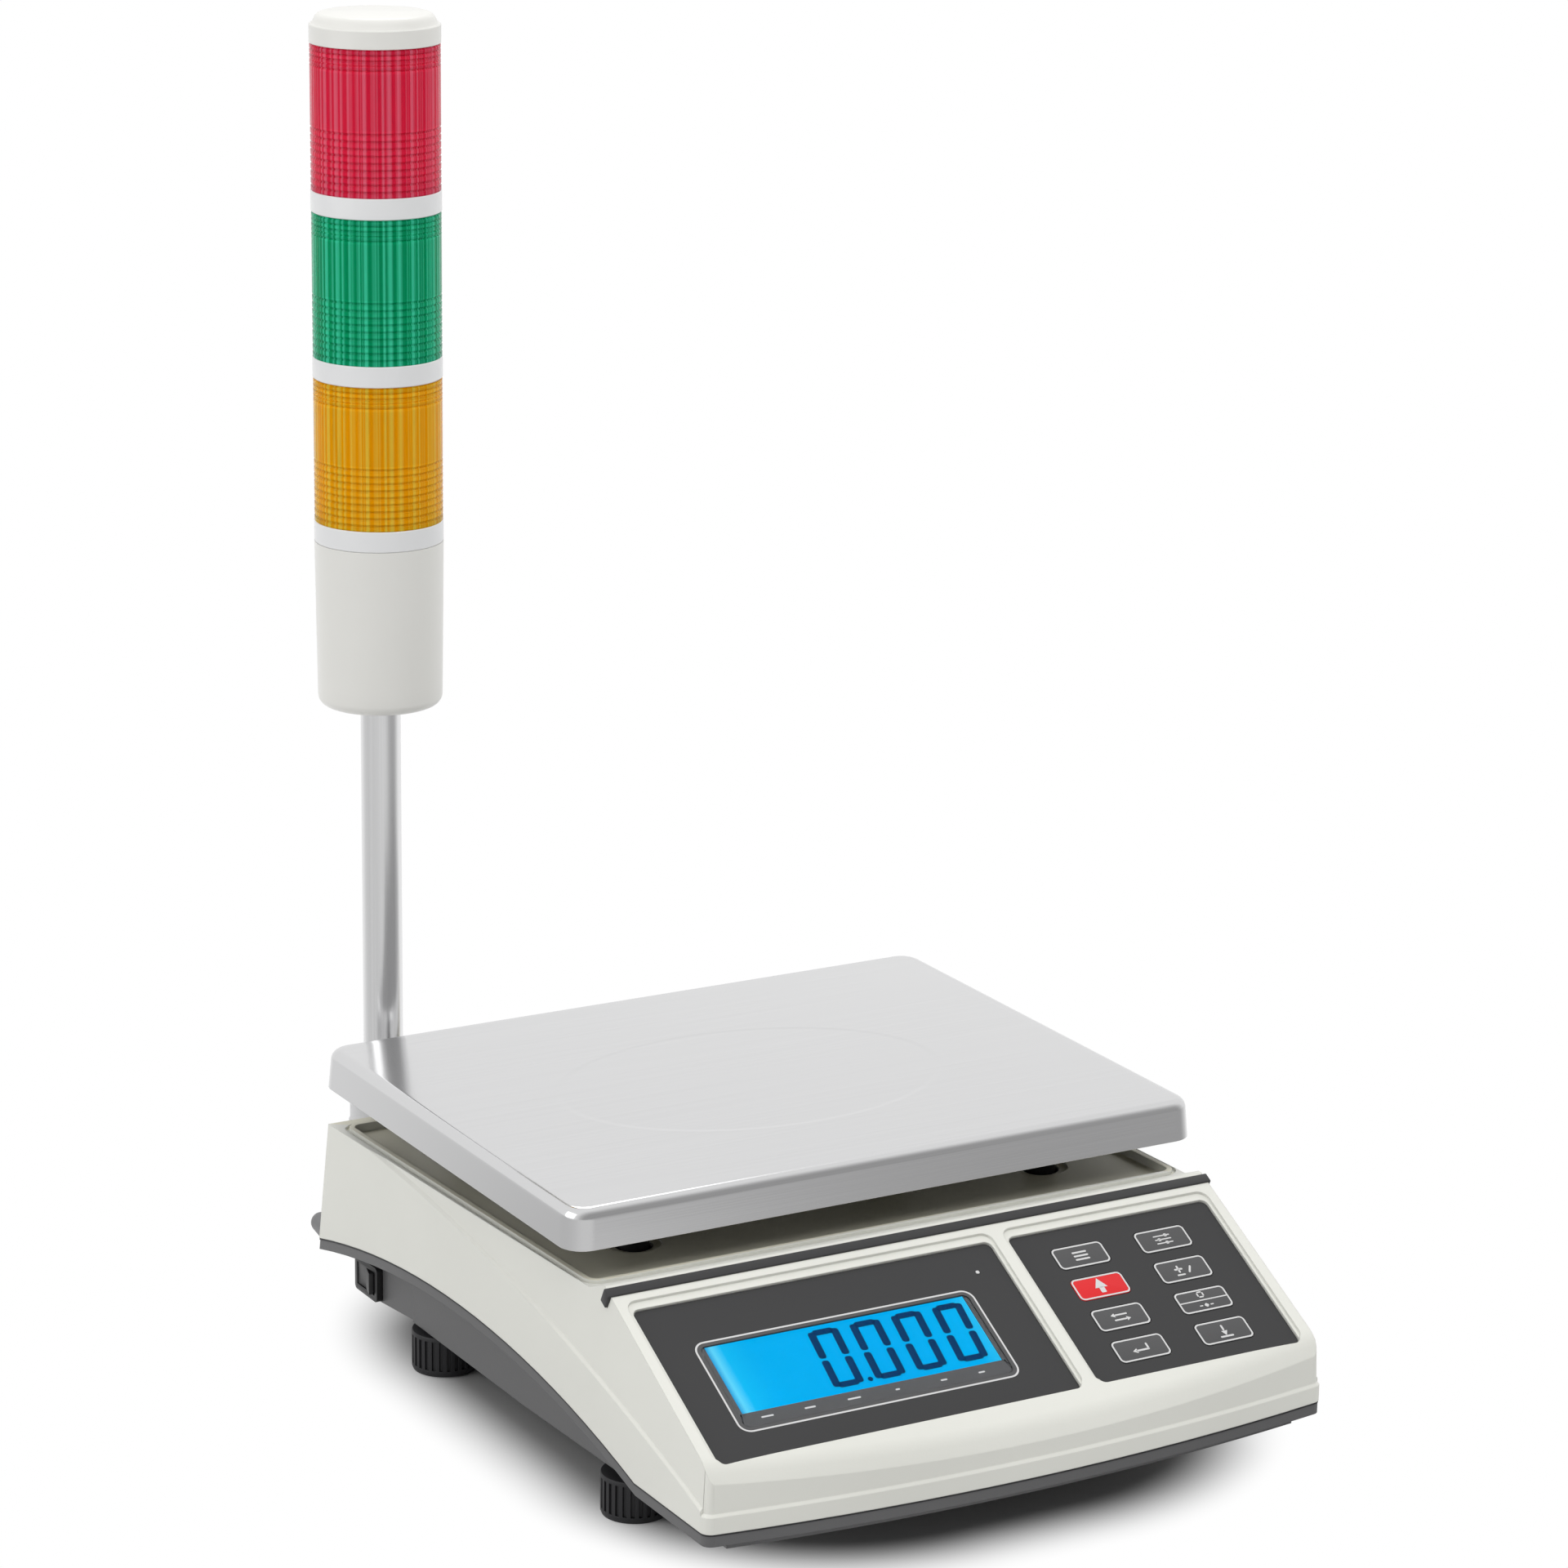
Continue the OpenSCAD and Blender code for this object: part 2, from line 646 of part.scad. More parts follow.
module main_board() color(green_board) at() difference() {
    union() {
        translate([0, (main_y0 + main_y1) / 2, main_z])
            slab(2 * main_x + 12, main_y1 - main_y0 + 12, board_t, 2);
        block(-40, -18, -190, -172, main_z, main_z + 10);
        block(-8, 6, -186, -172, main_z, main_z + 4);
        for (x = [20, 33]) translate([x, -182, main_z]) cylinder(d = 10, h = 14);
        for (x = [-30, 0, 30]) block(x - 9, x + 9, -160, -152, main_z, main_z + 9);
    }
    at_main_screws() translate([0, 0, main_z - 2]) cylinder(d = 3.4, h = 9);
}

// M3 pan-head screw, head seat at z = 0, shank downwards
module small_screw() {
    cylinder(d = 5.6, h = 2);
    translate([0, 0, -4.6]) cylinder(d = 2.5, h = 4.6);
}

module small_screws() color(steel) at() {
    on_panel() at_board_screws() translate([0, 0, board_z - board_t]) mirror([0, 0, 1]) small_screw();
    at_main_screws() translate([0, 0, main_z + board_t]) small_screw();
    at_strap_screws() translate([0, 0, battery_at[2] + 1.52]) short_screw();
}

module short_screw() {
    cylinder(d = 5.6, h = 2);
    translate([0, 0, -3.4]) cylinder(d = 2.5, h = 3.4);
}

module battery_cell() color([0.2, 0.22, 0.26]) at() translate(battery_at) {
    cube(battery);
    for (x = [18, 36]) translate([x, battery[1] / 2 - 3, battery[2]]) cube([5, 6, 1.2]);
}

module battery_strap() color(steel) at() difference() {
    translate([strap_x, 0, 0]) {
        y0 = battery_at[1] - 0.2;
        y1 = battery_at[1] + battery[1] + 0.2;
        z1 = battery_at[2] + battery[2] + 0.2;
        block(-9, 9, y0 - 1.5, y1 + 1.5, z1, z1 + 1.5);
        z0 = battery_at[2] + 0.02;
        block(-9, 9, y0 - 1.5, y0, z0, z1);
        block(-9, 9, y1, y1 + 1.5, z0, z1);
        block(-9, 9, y0 - 12, y0, z0, z0 + 1.5);
        block(-9, 9, y1, y1 + 12, z0, z0 + 1.5);
    }
    at_strap_screws() cylinder(d = 3.4, h = 60);
}

module switch_body() color(black) at() translate([0, switch_y, switch_z]) difference() {
    union() {
        translate([-neck_x, 0, 0]) rotate([0, -90, 0]) slab(16, 22.4, 3, 2);
        block(-neck_x, -neck_x + 17, -9.2, 9.2, -5.8, 5.8);
        for (y = [-5, 3.4]) block(-neck_x + 16, -neck_x + 24, y, y + 1.6, -2.4, 2.4);
    }
    block(-neck_x - 4, -neck_x + 6, -8.8, 8.8, -5.2, 5.2);
    translate([-rocker_x, 0, 0]) cylinder(d = 2 + 2 * fit, h = 20, center = true);
}

module switch_rocker() color(black) at() translate([-rocker_x, switch_y, switch_z])
    rotate([0, 0, -8]) {
        linear_extrude(height = 10, center = true)
            polygon([[-4.4, -7.9], [-3.2, 0], [-4.4, 7.9], [0.5, 7.9], [2.5, 2], [2.5, -2], [0.5, -7.9]]);
        cylinder(d = 2, h = 11.4, center = true);
    }

module charge_inlet() color(black) at() translate([inlet_x, tub_rear, inlet_z]) rotate([-90, 0, 0])
    difference() {
        union() {
            cylinder(d = 12, h = 2);
            translate([0, 0, -13]) cylinder(d = 8, h = 13);
            translate([0, 0, -wall - 2.5]) cylinder(d = 11, h = 2.5, $fn = 6);
        }
        translate([0, 0, -10]) cylinder(d = 5.6, h = 20);
    }

module bubble_level() color([0.7, 0.85, 0.4]) at() translate([level_x, level_y, level_z])
    difference() {
        cylinder(d = 20, h = 8);
        translate([0, 0, 7]) cylinder(d = 14, h = 2);
    }

// Weighing mechanism

module load_cell() color(alloy) at() difference() {
    block(-cell_l / 2, cell_l / 2, -cell_w / 2, cell_w / 2, cell_z, block_z);
    for (x = [-9, 9]) translate([x, 0, cell_z + cell_h / 2]) rotate([90, 0, 0])
        cylinder(d = cell_h - 5, h = cell_w + 2, center = true);
    block(-9, 9, -cell_w, cell_w, cell_z + 4.5, block_z - 4.5);
    for (x = [-57, -40]) translate([x, 0, cell_z - 1]) cylinder(d = 6.1, h = 14);
    for (x = [40, 57]) translate([x, 0, block_z - 13]) cylinder(d = 6.1, h = 14);
}

module cell_plate() color(steel) at() difference() {
    block(-66, -26, -18, 18, cell_z - plate_t, cell_z);
    for (x = [-57, -40]) translate([x, 0, 0]) cylinder(d = 6.6, h = 90);
}

module cell_block() color(alloy) at() difference() {
    block(30, cell_l / 2 + 1, -18, 18, block_z, cross_z);
    for (x = [40, 57]) translate([x, 0, 0]) cylinder(d = 6.6, h = 120);
}

module fixed_bolts() color(steel) at() for (x = [-57, -40]) translate([x, 0, cell_z - plate_t - 5]) {
    translate([0, 0, -5]) cylinder(d = 10, h = 5);
    cylinder(d = 6, h = plate_t + 5 + 10);
}

module live_bolts() color(steel) at() for (x = [40, 57]) translate([x, 0, cross_z + cross_t - 5]) {
    cylinder(d = 10, h = 5);
    translate([0, 0, 5 - cross_t - block_h - 10]) cylinder(d = 6, h = cross_t - 5 + block_h + 10);
}

module pan_cross() color(alloy) at() difference() {
    a = atan2(post_y, post_x);
    l = sqrt(pow(post_x, 2) + pow(post_y, 2));
    union() {
        translate([0, 0, cross_z]) linear_extrude(height = cross_t) {
            translate([10, 0]) square([124, 54], center = true);
            for (q = [a, -a]) rotate([0, 0, q]) square([2 * l, arm_w], center = true);
            at_posts() circle(d = arm_w + 5);
        }
        at_posts() translate([0, 0, cross_z + 1]) cylinder(d = post_d, h = post_top - cross_z - 1);
    }
    for (x = [40, 57]) translate([x, 0, cross_z]) {
        translate([0, 0, -1]) cylinder(d = 6.6, h = 20);
        translate([0, 0, cross_t - 5]) cylinder(d = 11, h = 20);
    }
}

module rubber_caps() color(black) at() at_posts() translate([0, 0, pan_under - cap_h]) difference() {
    cylinder(d = cap_d, h = cap_h);
    translate([0, 0, -1]) cylinder(d = post_d + 2 * fit, h = cap_h - cap_top + 1);
}

module weighing_pan() color(steel) at() translate([0, pan_y, pan_top - pan_skirt]) difference() {
    bent_box(pan_w, pan_d, pan_skirt, pan_corner, pan_bend);
    translate([0, 0, -1]) bent_box(pan_w - 2 * pan_t, pan_d - 2 * pan_t, pan_skirt - pan_t + 1,
        pan_corner - pan_t, pan_bend - pan_t);
}

// Feet and closing screws

module foot() color(black) difference() {
    union() {
        translate([0, 0, 1.5]) cylinder(d = foot_d, h = foot_h - 1.5);
        cylinder(d1 = foot_d - 3, d2 = foot_d, h = 1.5);
        cylinder(d = stud_d, h = 40);
    }
    for (i = [0 : 23]) rotate([0, 0, i * 15]) translate([foot_d / 2 + 0.35, 0, 2.6])
        cylinder(d = 2.2, h = 30, $fn = 16);
}

module foot_front_left() at() translate([-foot_x, -foot_front, 0]) foot();

module foot_front_right() at() translate([foot_x, -foot_front, 0]) foot();

module foot_rear_left() at() translate([-foot_x, foot_rear, 0]) foot();

module foot_rear_right() at() translate([foot_x, foot_rear, 0]) foot();

module foot_inserts() color(brass) at() at_feet() translate([0, 0, 27]) difference() {
    cylinder(d = stud_d + 3, h = 15);
    translate([0, 0, -1]) cylinder(d = stud_d + 2 * fit, h = 20);
}

module case_screws() color(steel) at() at_case_screws() translate([0, 0, 32]) {
    translate([0, 0, -3]) cylinder(d = 8, h = 3);
    cylinder(d = 4, h = 30);
}

// Pole and its bracket

module pole_bracket() color(silver) at() difference() {
    top = shelf_z + bracket_t;
    out = bracket_t / cos(rear_slope);
    union() {
        translate([-pole_x, 0, 0]) along_x(plate_w) polygon([[rear_at(56), 56],
            [rear_at(56) + out, 56], [rear_at(top) + out, top], [rear_at(top), top]]);
        on_pole(shelf_z) linear_extrude(height = bracket_t) {
            translate([-shelf_r, rear_at(shelf_z) + 1 - pole_y])
                square([2 * shelf_r, pole_y - rear_at(shelf_z) - 1]);
            circle(r = shelf_r);
        }
    }
    on_pole(0) cylinder(r = spigot_r + fit, h = 200);
    at_plate_screws() translate([0, 0, -1]) cylinder(d = 4.4, h = 12);
}

module bracket_screws() color(steel) at() at_plate_screws() {
    translate([0, 0, bracket_t + 0.02]) cylinder(d = 7.5, h = 2.6);
    translate([0, 0, -wall - 4]) cylinder(d = 4, h = wall + 4 + bracket_t);
}

module bracket_nuts() color(steel) at() at_plate_screws() translate([0, 0, -wall - 3.22]) difference() {
    cylinder(d = 8, h = 3.2, $fn = 6);
    translate([0, 0, -1]) cylinder(d = 4.1, h = 9);
}

module pole_collar() color(silver) at() on_pole(shelf_z + bracket_t) difference() {
    union() {
        cylinder(d = collar_d, h = collar_h - 1.5);
        translate([0, 0, collar_h - 1.5]) cylinder(d1 = collar_d, d2 = collar_d - 3, h = 1.5);
        translate([0, 0, -bracket_t - nut_h]) cylinder(r = spigot_r, h = bracket_t + nut_h);
    }
    translate([0, 0, 1.5]) cylinder(d = pole_d + 2 * fit, h = 60);
    translate([0, 0, -30]) cylinder(d = 9, h = 60);
    translate([0, 0, 15]) rotate([0, 0, 225]) rotate([0, 90, 0]) cylinder(d = 4.1, h = 40);
}

module collar_nut() color(steel) at() on_pole(shelf_z - nut_h) difference() {
    cylinder(r = 10.4, h = nut_h, $fn = 6);
    translate([0, 0, -1]) cylinder(r = spigot_r + fit, h = 20);
}

module collar_screw() color(black) at() on_pole(shelf_z + bracket_t + 15) rotate([0, 0, 225])
    rotate([0, 90, 0]) translate([0, 0, pole_d / 2 + fit]) difference() {
        cylinder(d = 4, h = collar_d / 2 - pole_d / 2 - 0.6);
        translate([0, 0, collar_d / 2 - pole_d / 2 - 2.4]) cylinder(d = 2.3, h = 9, $fn = 6);
    }

module pole() color(silver) at() on_pole(shelf_z + bracket_t + 1.5) difference() {
    cylinder(d = pole_d, h = tower_z + hub_h - shelf_z - bracket_t - 1.5);
    translate([0, 0, -1]) cylinder(d = pole_d - 3, h = 400);
}

module cable_gland() color(grey) at() on_rear(gland_x, gland_z) difference() {
    union() {
        cylinder(d = 10.4, h = 3, $fn = 6);
        translate([0, 0, 3]) cylinder(d = 9.2, h = 9);
        translate([0, 0, 12]) intersection() {
            sphere(d = 9.2);
            cylinder(d = 12, h = 6);
        }
        translate([0, 0, -8]) cylinder(d = 7, h = 9);
        translate([0, 0, -8]) cylinder(d = 7.7, h = 2.5);
    }
    translate([0, 0, -20]) cylinder(d = 4, h = 60);
}

// Signal tower, turned pieces stacked on the pole

module tower_base() color(ivory) at() on_pole(tower_z) rotate_extrude($fn = 96) {
    r = tower_d / 2;
    b = r - 0.8;
    polygon(concat([[pole_d / 2 + fit, 0]],
        [for (i = [0 : 6]) [b - 4.5 + 4.5 * sin(i * 15), 4.5 - 4.5 * cos(i * 15)]],
        [[r, tower_base_h], [r - 2.4, tower_base_h], [b - 2.6, 6.5], [b - 6, 3], [pole_d / 2 + 3, 3],
            [pole_d / 2 + 3, hub_h], [pole_d / 2 + fit, hub_h]]));
}

// Separator ring with a register above and below
module ring(i) color(silver) at() on_pole(ring_z[i]) rotate_extrude($fn = 96) {
    r = tower_d / 2;
    s = r - 2.6;
    polygon([[5, 1], [s - 1.5, 1], [s - 1.5, -2], [s, -2], [s, 0], [r - 0.4, 0], [r, 0.4],
        [r, ring_h - 0.4], [r - 0.4, ring_h], [s, ring_h], [s, ring_h + 2], [s - 1.5, ring_h + 2],
        [s - 1.5, ring_h - 2], [5, ring_h - 2]]);
}

module ring_low() ring(0);

module ring_mid() ring(1);

module ring_high() ring(2);

// Ribbed lens: fine ribs at the top, a plain band, broader ribs below
function ribs(r, z0, n, p) = [for (i = [0 : n - 1], q = [[0, 0], [0, 0.55], [0.45, 0.7], [0.45, 0.85]])
    [r - q[0], z0 + (i + q[1]) * p]];

module lens(i, tint) color(tint) at() on_pole(lens_z[i]) rotate_extrude($fn = 96) {
    r = tower_d / 2 - 0.2;
    low = lens_h * 0.44 / 9;
    fine = lens_h * 0.17 / 5;
    polygon(concat([[r - 2.3, 0]], ribs(r, 0, 9, low), [[r, lens_h * 0.44]],
        ribs(r, lens_h * 0.83, 5, fine), [[r, lens_h], [r - 2.3, lens_h]]));
}

module lens_amber() lens(0, [0.95, 0.62, 0.12, 0.6]);

module lens_green() lens(1, [0, 0.6, 0.38, 0.6]);

module lens_red() lens(2, [0.85, 0.1, 0.22, 0.6]);

module lamp_cores() color([0.85, 0.85, 0.82]) at() for (i = [0 : 2]) on_pole(lens_z[i] - 2) {
    cylinder(d = 40, h = 1.6);
    cylinder(d = 16, h = lens_h - 3);
}

module tower_cap() color(ivory) at() on_pole(cap_z) rotate_extrude($fn = 96) {
    r = tower_d / 2;
    s = r - 2.6;
    t = band_h + crown_h;
    polygon([[0, t - 3], [s - 1.5, t - 5.5], [s - 1.5, -2], [s, -2], [s, 0], [r, 0], [r, band_h - 0.5],
        [r - 0.5, band_h], [r - 1, band_h], [r - 1.4, band_h + 0.5], [r - 2.6, t - 1.4], [r - 3.6, t - 0.5],
        [r - 5, t], [0, t]]);
}

base_tray();
upper_housing();
trim_strip();
display_overlay();
keypad_overlay();
lcd_window();
lcd_module();
display_board();
key_1();
key_2();
key_3();
key_4();
key_5();
key_6();
key_7();
key_8();
main_board();
small_screws();
load_cell();
cell_plate();
cell_block();
fixed_bolts();
live_bolts();
pan_cross();
rubber_caps();
weighing_pan();
battery_cell();
battery_strap();
switch_body();
switch_rocker();
charge_inlet();
bubble_level();
foot_front_left();
foot_front_right();
foot_rear_left();
foot_rear_right();
foot_inserts();
case_screws();
pole_bracket();
bracket_screws();
bracket_nuts();
pole_collar();
collar_nut();
collar_screw();
pole();
cable_gland();
tower_base();
ring_low();
ring_mid();
ring_high();
lens_amber();
lens_green();
lens_red();
lamp_cores();
tower_cap();
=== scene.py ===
import math
import bmesh
import bpy
from mathutils import Matrix, Vector


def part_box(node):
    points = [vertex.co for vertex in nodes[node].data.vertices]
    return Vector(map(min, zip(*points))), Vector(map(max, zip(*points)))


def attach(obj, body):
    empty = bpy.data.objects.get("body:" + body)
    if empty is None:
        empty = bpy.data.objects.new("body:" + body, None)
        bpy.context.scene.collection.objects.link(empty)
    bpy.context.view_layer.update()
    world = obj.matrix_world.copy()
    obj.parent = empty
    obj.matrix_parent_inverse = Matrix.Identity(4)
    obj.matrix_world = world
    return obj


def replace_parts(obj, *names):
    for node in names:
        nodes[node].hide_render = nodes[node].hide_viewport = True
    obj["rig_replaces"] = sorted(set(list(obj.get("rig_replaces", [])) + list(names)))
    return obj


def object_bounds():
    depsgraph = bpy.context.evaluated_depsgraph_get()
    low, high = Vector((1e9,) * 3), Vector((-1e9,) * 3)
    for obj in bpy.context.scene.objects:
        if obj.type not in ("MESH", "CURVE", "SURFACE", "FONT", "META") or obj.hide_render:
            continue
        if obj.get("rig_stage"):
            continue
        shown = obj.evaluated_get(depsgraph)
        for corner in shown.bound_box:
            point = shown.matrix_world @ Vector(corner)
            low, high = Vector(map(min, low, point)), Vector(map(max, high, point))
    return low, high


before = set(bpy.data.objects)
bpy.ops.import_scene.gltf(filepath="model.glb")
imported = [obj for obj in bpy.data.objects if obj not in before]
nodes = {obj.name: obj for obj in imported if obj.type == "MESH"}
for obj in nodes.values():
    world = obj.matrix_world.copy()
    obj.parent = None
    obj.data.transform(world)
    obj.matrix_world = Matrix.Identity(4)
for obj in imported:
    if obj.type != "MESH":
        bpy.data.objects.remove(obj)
cad_box = [list(corner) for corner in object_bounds()]
scene = bpy.context.scene
scene.view_settings.view_transform = "Standard"

# Viewpoint, table and light. The scale stands on a plain pale table in a white studio that is
# darker towards the viewer, and is seen from its front left corner, a little from above. Only the
# table near it takes shadows; farther out it is white to the eye, and graded in reflections.
eye_spot = Vector((-1.032, -1.784125, 0.847))
yaw, dip, tilt = math.radians(29.91), math.radians(15.68), math.radians(0.78)
ahead = Vector((math.sin(yaw) * math.cos(dip), math.cos(yaw) * math.cos(dip), -math.sin(dip)))
level_right = Vector((math.cos(yaw), -math.sin(yaw), 0))
level_up = level_right.cross(ahead)
right = level_right * math.cos(tilt) + level_up * math.sin(tilt)
up = level_up * math.cos(tilt) - level_right * math.sin(tilt)
eye = bpy.data.objects.new("eye", bpy.data.cameras.new("eye"))
eye.data.sensor_fit, eye.data.sensor_width, eye.data.lens = "HORIZONTAL", 36, 118.03
eye.data.clip_start, eye.data.clip_end = 0.05, 60
place = Matrix.Identity(4)
for i, column in enumerate((right, up, -ahead, eye_spot)):
    for j in range(3):
        place[j][i] = column[j]
eye.matrix_world = place
scene.collection.objects.link(eye)
scene.camera = eye


def wired(tree, kind, values=None, work=None):
    """A new shader node. Each value is a constant for a socket, or an output to wire to it."""
    made = tree.nodes.new("ShaderNode" + kind)
    if work:
        made.operation = work
    for socket, value in (values or {}).items():
        if isinstance(value, bpy.types.NodeSocket):
            tree.links.new(value, made.inputs[socket])
        else:
            made.inputs[socket].default_value = value
    return made


def larger(tree, a, b):
    """The larger of two values."""
    return wired(tree, "Math", {0: a, 1: b}, "MAXIMUM").outputs[0]


def eased(tree, value, start, end, low=0, high=1):
    """A value that goes softly from low to high, between start and end of another."""
    soft = wired(tree, "MapRange", {"Value": value, "From Min": start, "From Max": end,
                                   "To Min": low, "To Max": high})
    soft.interpolation_type = "SMOOTHSTEP"
    return soft.outputs["Result"]


def facing(tree, direction, way, start, end, low, high):
    """A value that goes softly from low to high, as a direction turns towards the way."""
    towards = wired(tree, "VectorMath", {0: direction, 1: way}, "DOT_PRODUCT")
    return eased(tree, towards.outputs["Value"], start, end, low, high)


room = bpy.data.worlds.new("white_studio")
room.use_nodes = True
scene.world = room
tree = room.node_tree
tree.nodes.clear()
where = wired(tree, "TexCoord").outputs["Generated"]
rays = wired(tree, "LightPath").outputs
glow_dark, seen_dark = 0.1, 0.42
glow_shade = facing(tree, where, way=(-0.5, -0.866, 0), start=0.2, end=0.9, low=1, high=glow_dark)
seen_shade = facing(tree, where, way=(0.25, -0.97, 0), start=0.1, end=0.85, low=1, high=seen_dark)
glow = wired(tree, "Background", {"Color": glow_shade, "Strength": 0.82})
seen = wired(tree, "Background", {"Color": larger(tree, seen_shade, rays["Is Camera Ray"])})
straight = larger(tree, rays["Is Camera Ray"], rays["Is Transmission Ray"])
any_view = larger(tree, straight, rays["Is Glossy Ray"])
pick = wired(tree, "MixShader", {0: any_view, 1: glow.outputs[0], 2: seen.outputs[0]})
wired(tree, "OutputWorld", {"Surface": pick.outputs[0]})

bpy.ops.object.select_all(action="DESELECT")
bpy.ops.mesh.primitive_plane_add(size=60)
table = bpy.context.object
table.name = "table_top"
pale = bpy.data.materials.new("pale_table")
pale.use_nodes = True
tree = pale.node_tree
tree.nodes.clear()
where = wired(tree, "TexCoord").outputs["Object"]
rays = wired(tree, "LightPath").outputs
near_middle, near_half, near_end, far_start = (0.012, 0.013, 0), (0.03, 0.075, 1), 0.1, 0.147
away = wired(tree, "VectorMath", {0: where, 1: near_middle}, "SUBTRACT").outputs["Vector"]
away = wired(tree, "VectorMath", {0: away}, "ABSOLUTE").outputs["Vector"]
away = wired(tree, "VectorMath", {0: away, 1: near_half}, "SUBTRACT").outputs["Vector"]
away = wired(tree, "VectorMath", {0: away, 1: (0, 0, 0)}, "MAXIMUM").outputs["Vector"]
reach = wired(tree, "VectorMath", {0: away}, "LENGTH").outputs["Value"]
far = eased(tree, reach, near_end, far_start)
outward = wired(tree, "VectorMath", {0: where}, "NORMALIZE").outputs["Vector"]
shine = 0.46
for way, start, end, most in (((-0.85, 0.5, 0), -0.95, -0.35, 0.8), ((-0.85, 0.5, 0), 0, 0.9, 0.66),
                              ((0.5, 0.866, 0), 0, 0.8, 1)):
    shine = facing(tree, outward, way, start, end, shine, most)
straight = larger(tree, rays["Is Camera Ray"], rays["Is Transmission Ray"])
any_view = larger(tree, straight, rays["Is Glossy Ray"])
far_view = wired(tree, "Math", {0: any_view, 1: far}, "MULTIPLY").outputs[0]
white = wired(tree, "Emission", {"Color": larger(tree, straight, shine), "Strength": 1})
thrown = wired(tree, "BsdfDiffuse", {"Color": (0.7, 0.7, 0.7, 1)})
shaded = wired(tree, "BsdfDiffuse", {"Color": (0.45, 0.45, 0.45, 1)})
near = wired(tree, "MixShader", {0: rays["Is Camera Ray"], 1: thrown.outputs[0], 2: shaded.outputs[0]})
whole = wired(tree, "MixShader", {0: far_view, 1: near.outputs[0], 2: white.outputs[0]})
wired(tree, "OutputMaterial", {"Surface": whole.outputs[0]})
table.data.materials.append(pale)
table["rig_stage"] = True

for name, spot, aim, size, power in (
        ("lamp_left", (-2.1, 0.0, 1.0), (0, 0, 0.15), 1.8, 12),
        ("lamp_above", (-0.2, -1.4, 2.75), (0, 0, 0.1), 2.3, 41),
        ("lamp_rear", (0.7, 1.6, 2.2), (0, 0, 0.1), 0.9, 6)):
    bpy.ops.object.light_add(type="AREA", location=spot)
    lamp = bpy.context.object
    lamp.name = name
    lamp.data.size, lamp.data.energy = size, power
    lamp.visible_glossy = name != "lamp_above"
    lamp.rotation_mode = "QUATERNION"
    lamp.rotation_quaternion = (Vector(aim) - Vector(spot)).to_track_quat("-Z", "Y")

# Base tray: one grey moulding with a fine spark-eroded grain. Its rim meets the housing in the
# arched joint line, and the narrower tub below carries the feet, the switch and the works.
def new_finish(name):
    """A new finish, its node tree and its main shader."""
    finish = bpy.data.materials.new(name)
    finish.use_nodes = True
    return finish, finish.node_tree, finish.node_tree.nodes["Principled BSDF"]


def ramp(tree, value, *stops):
    """A colour ramp over a value, through stops of a position and a colour."""
    made = wired(tree, "ValToRGB", {"Fac": value})
    points = made.color_ramp.elements
    for point, (position, colour) in ((points[0], stops[0]), (points[1], stops[-1])):
        point.position, point.color = position, colour + (1,)
    for position, colour in stops[1:-1]:
        points.new(position).color = colour + (1,)
    return made


def varied(tree, shader, pattern, colour, rough, dark, light, play):
    """Lets a pattern vary the colour and the sheen of a finish a little."""
    tone = ramp(tree, pattern, (0.3, tuple(c * dark for c in colour)),
                (0.7, tuple(min(1, c * light) for c in colour)))
    sheen = wired(tree, "MapRange", {"Value": pattern, "To Min": rough - play, "To Max": rough + play})
    tree.links.new(tone.outputs["Color"], shader.inputs["Base Color"])
    tree.links.new(sheen.outputs["Result"], shader.inputs["Roughness"])


def raised(tree, shader, pattern, depth, edge, strength):
    """Raises a pattern off the surface of a finish, and breaks its sharp edges."""
    soft_edge = wired(tree, "Bevel", {"Radius": edge})
    soft_edge.samples = 6
    relief = wired(tree, "Bump", {"Height": pattern, "Normal": soft_edge.outputs["Normal"],
                                 "Strength": strength, "Distance": depth})
    tree.links.new(relief.outputs["Normal"], shader.inputs["Normal"])


def moulded(name, colour, rough, grain=1500, depth=0.00006, edge=0.0006, gloss=0.4):
    """A moulded plastic: fine grain in the surface, slightly uneven sheen, broken edges."""
    finish, tree, shader = new_finish(name)
    shader.inputs["Specular IOR Level"].default_value = gloss
    where = wired(tree, "TexCoord").outputs["Object"]
    cloud = wired(tree, "TexNoise", {"Vector": where, "Scale": 9, "Detail": 3})
    speck = wired(tree, "TexNoise", {"Vector": where, "Scale": grain, "Detail": 2})
    varied(tree, shader, cloud.outputs["Fac"], colour, rough, dark=0.97, light=1.02, play=0.04)
    raised(tree, shader, speck.outputs["Fac"], depth, edge, strength=0.5)
    return finish


def dress(finish, *names):
    """Gives carried-over nodes their finish."""
    for node in names:
        nodes[node].data.materials.clear()
        nodes[node].data.materials.append(finish)


def only(piece):
    """Makes a piece the one that the next steps work on."""
    bpy.ops.object.select_all(action="DESELECT")
    piece.select_set(True)
    bpy.context.view_layer.objects.active = piece


weld_gap, flat_angle, sharp_angle = 0.000004, 0.002, math.radians(38)


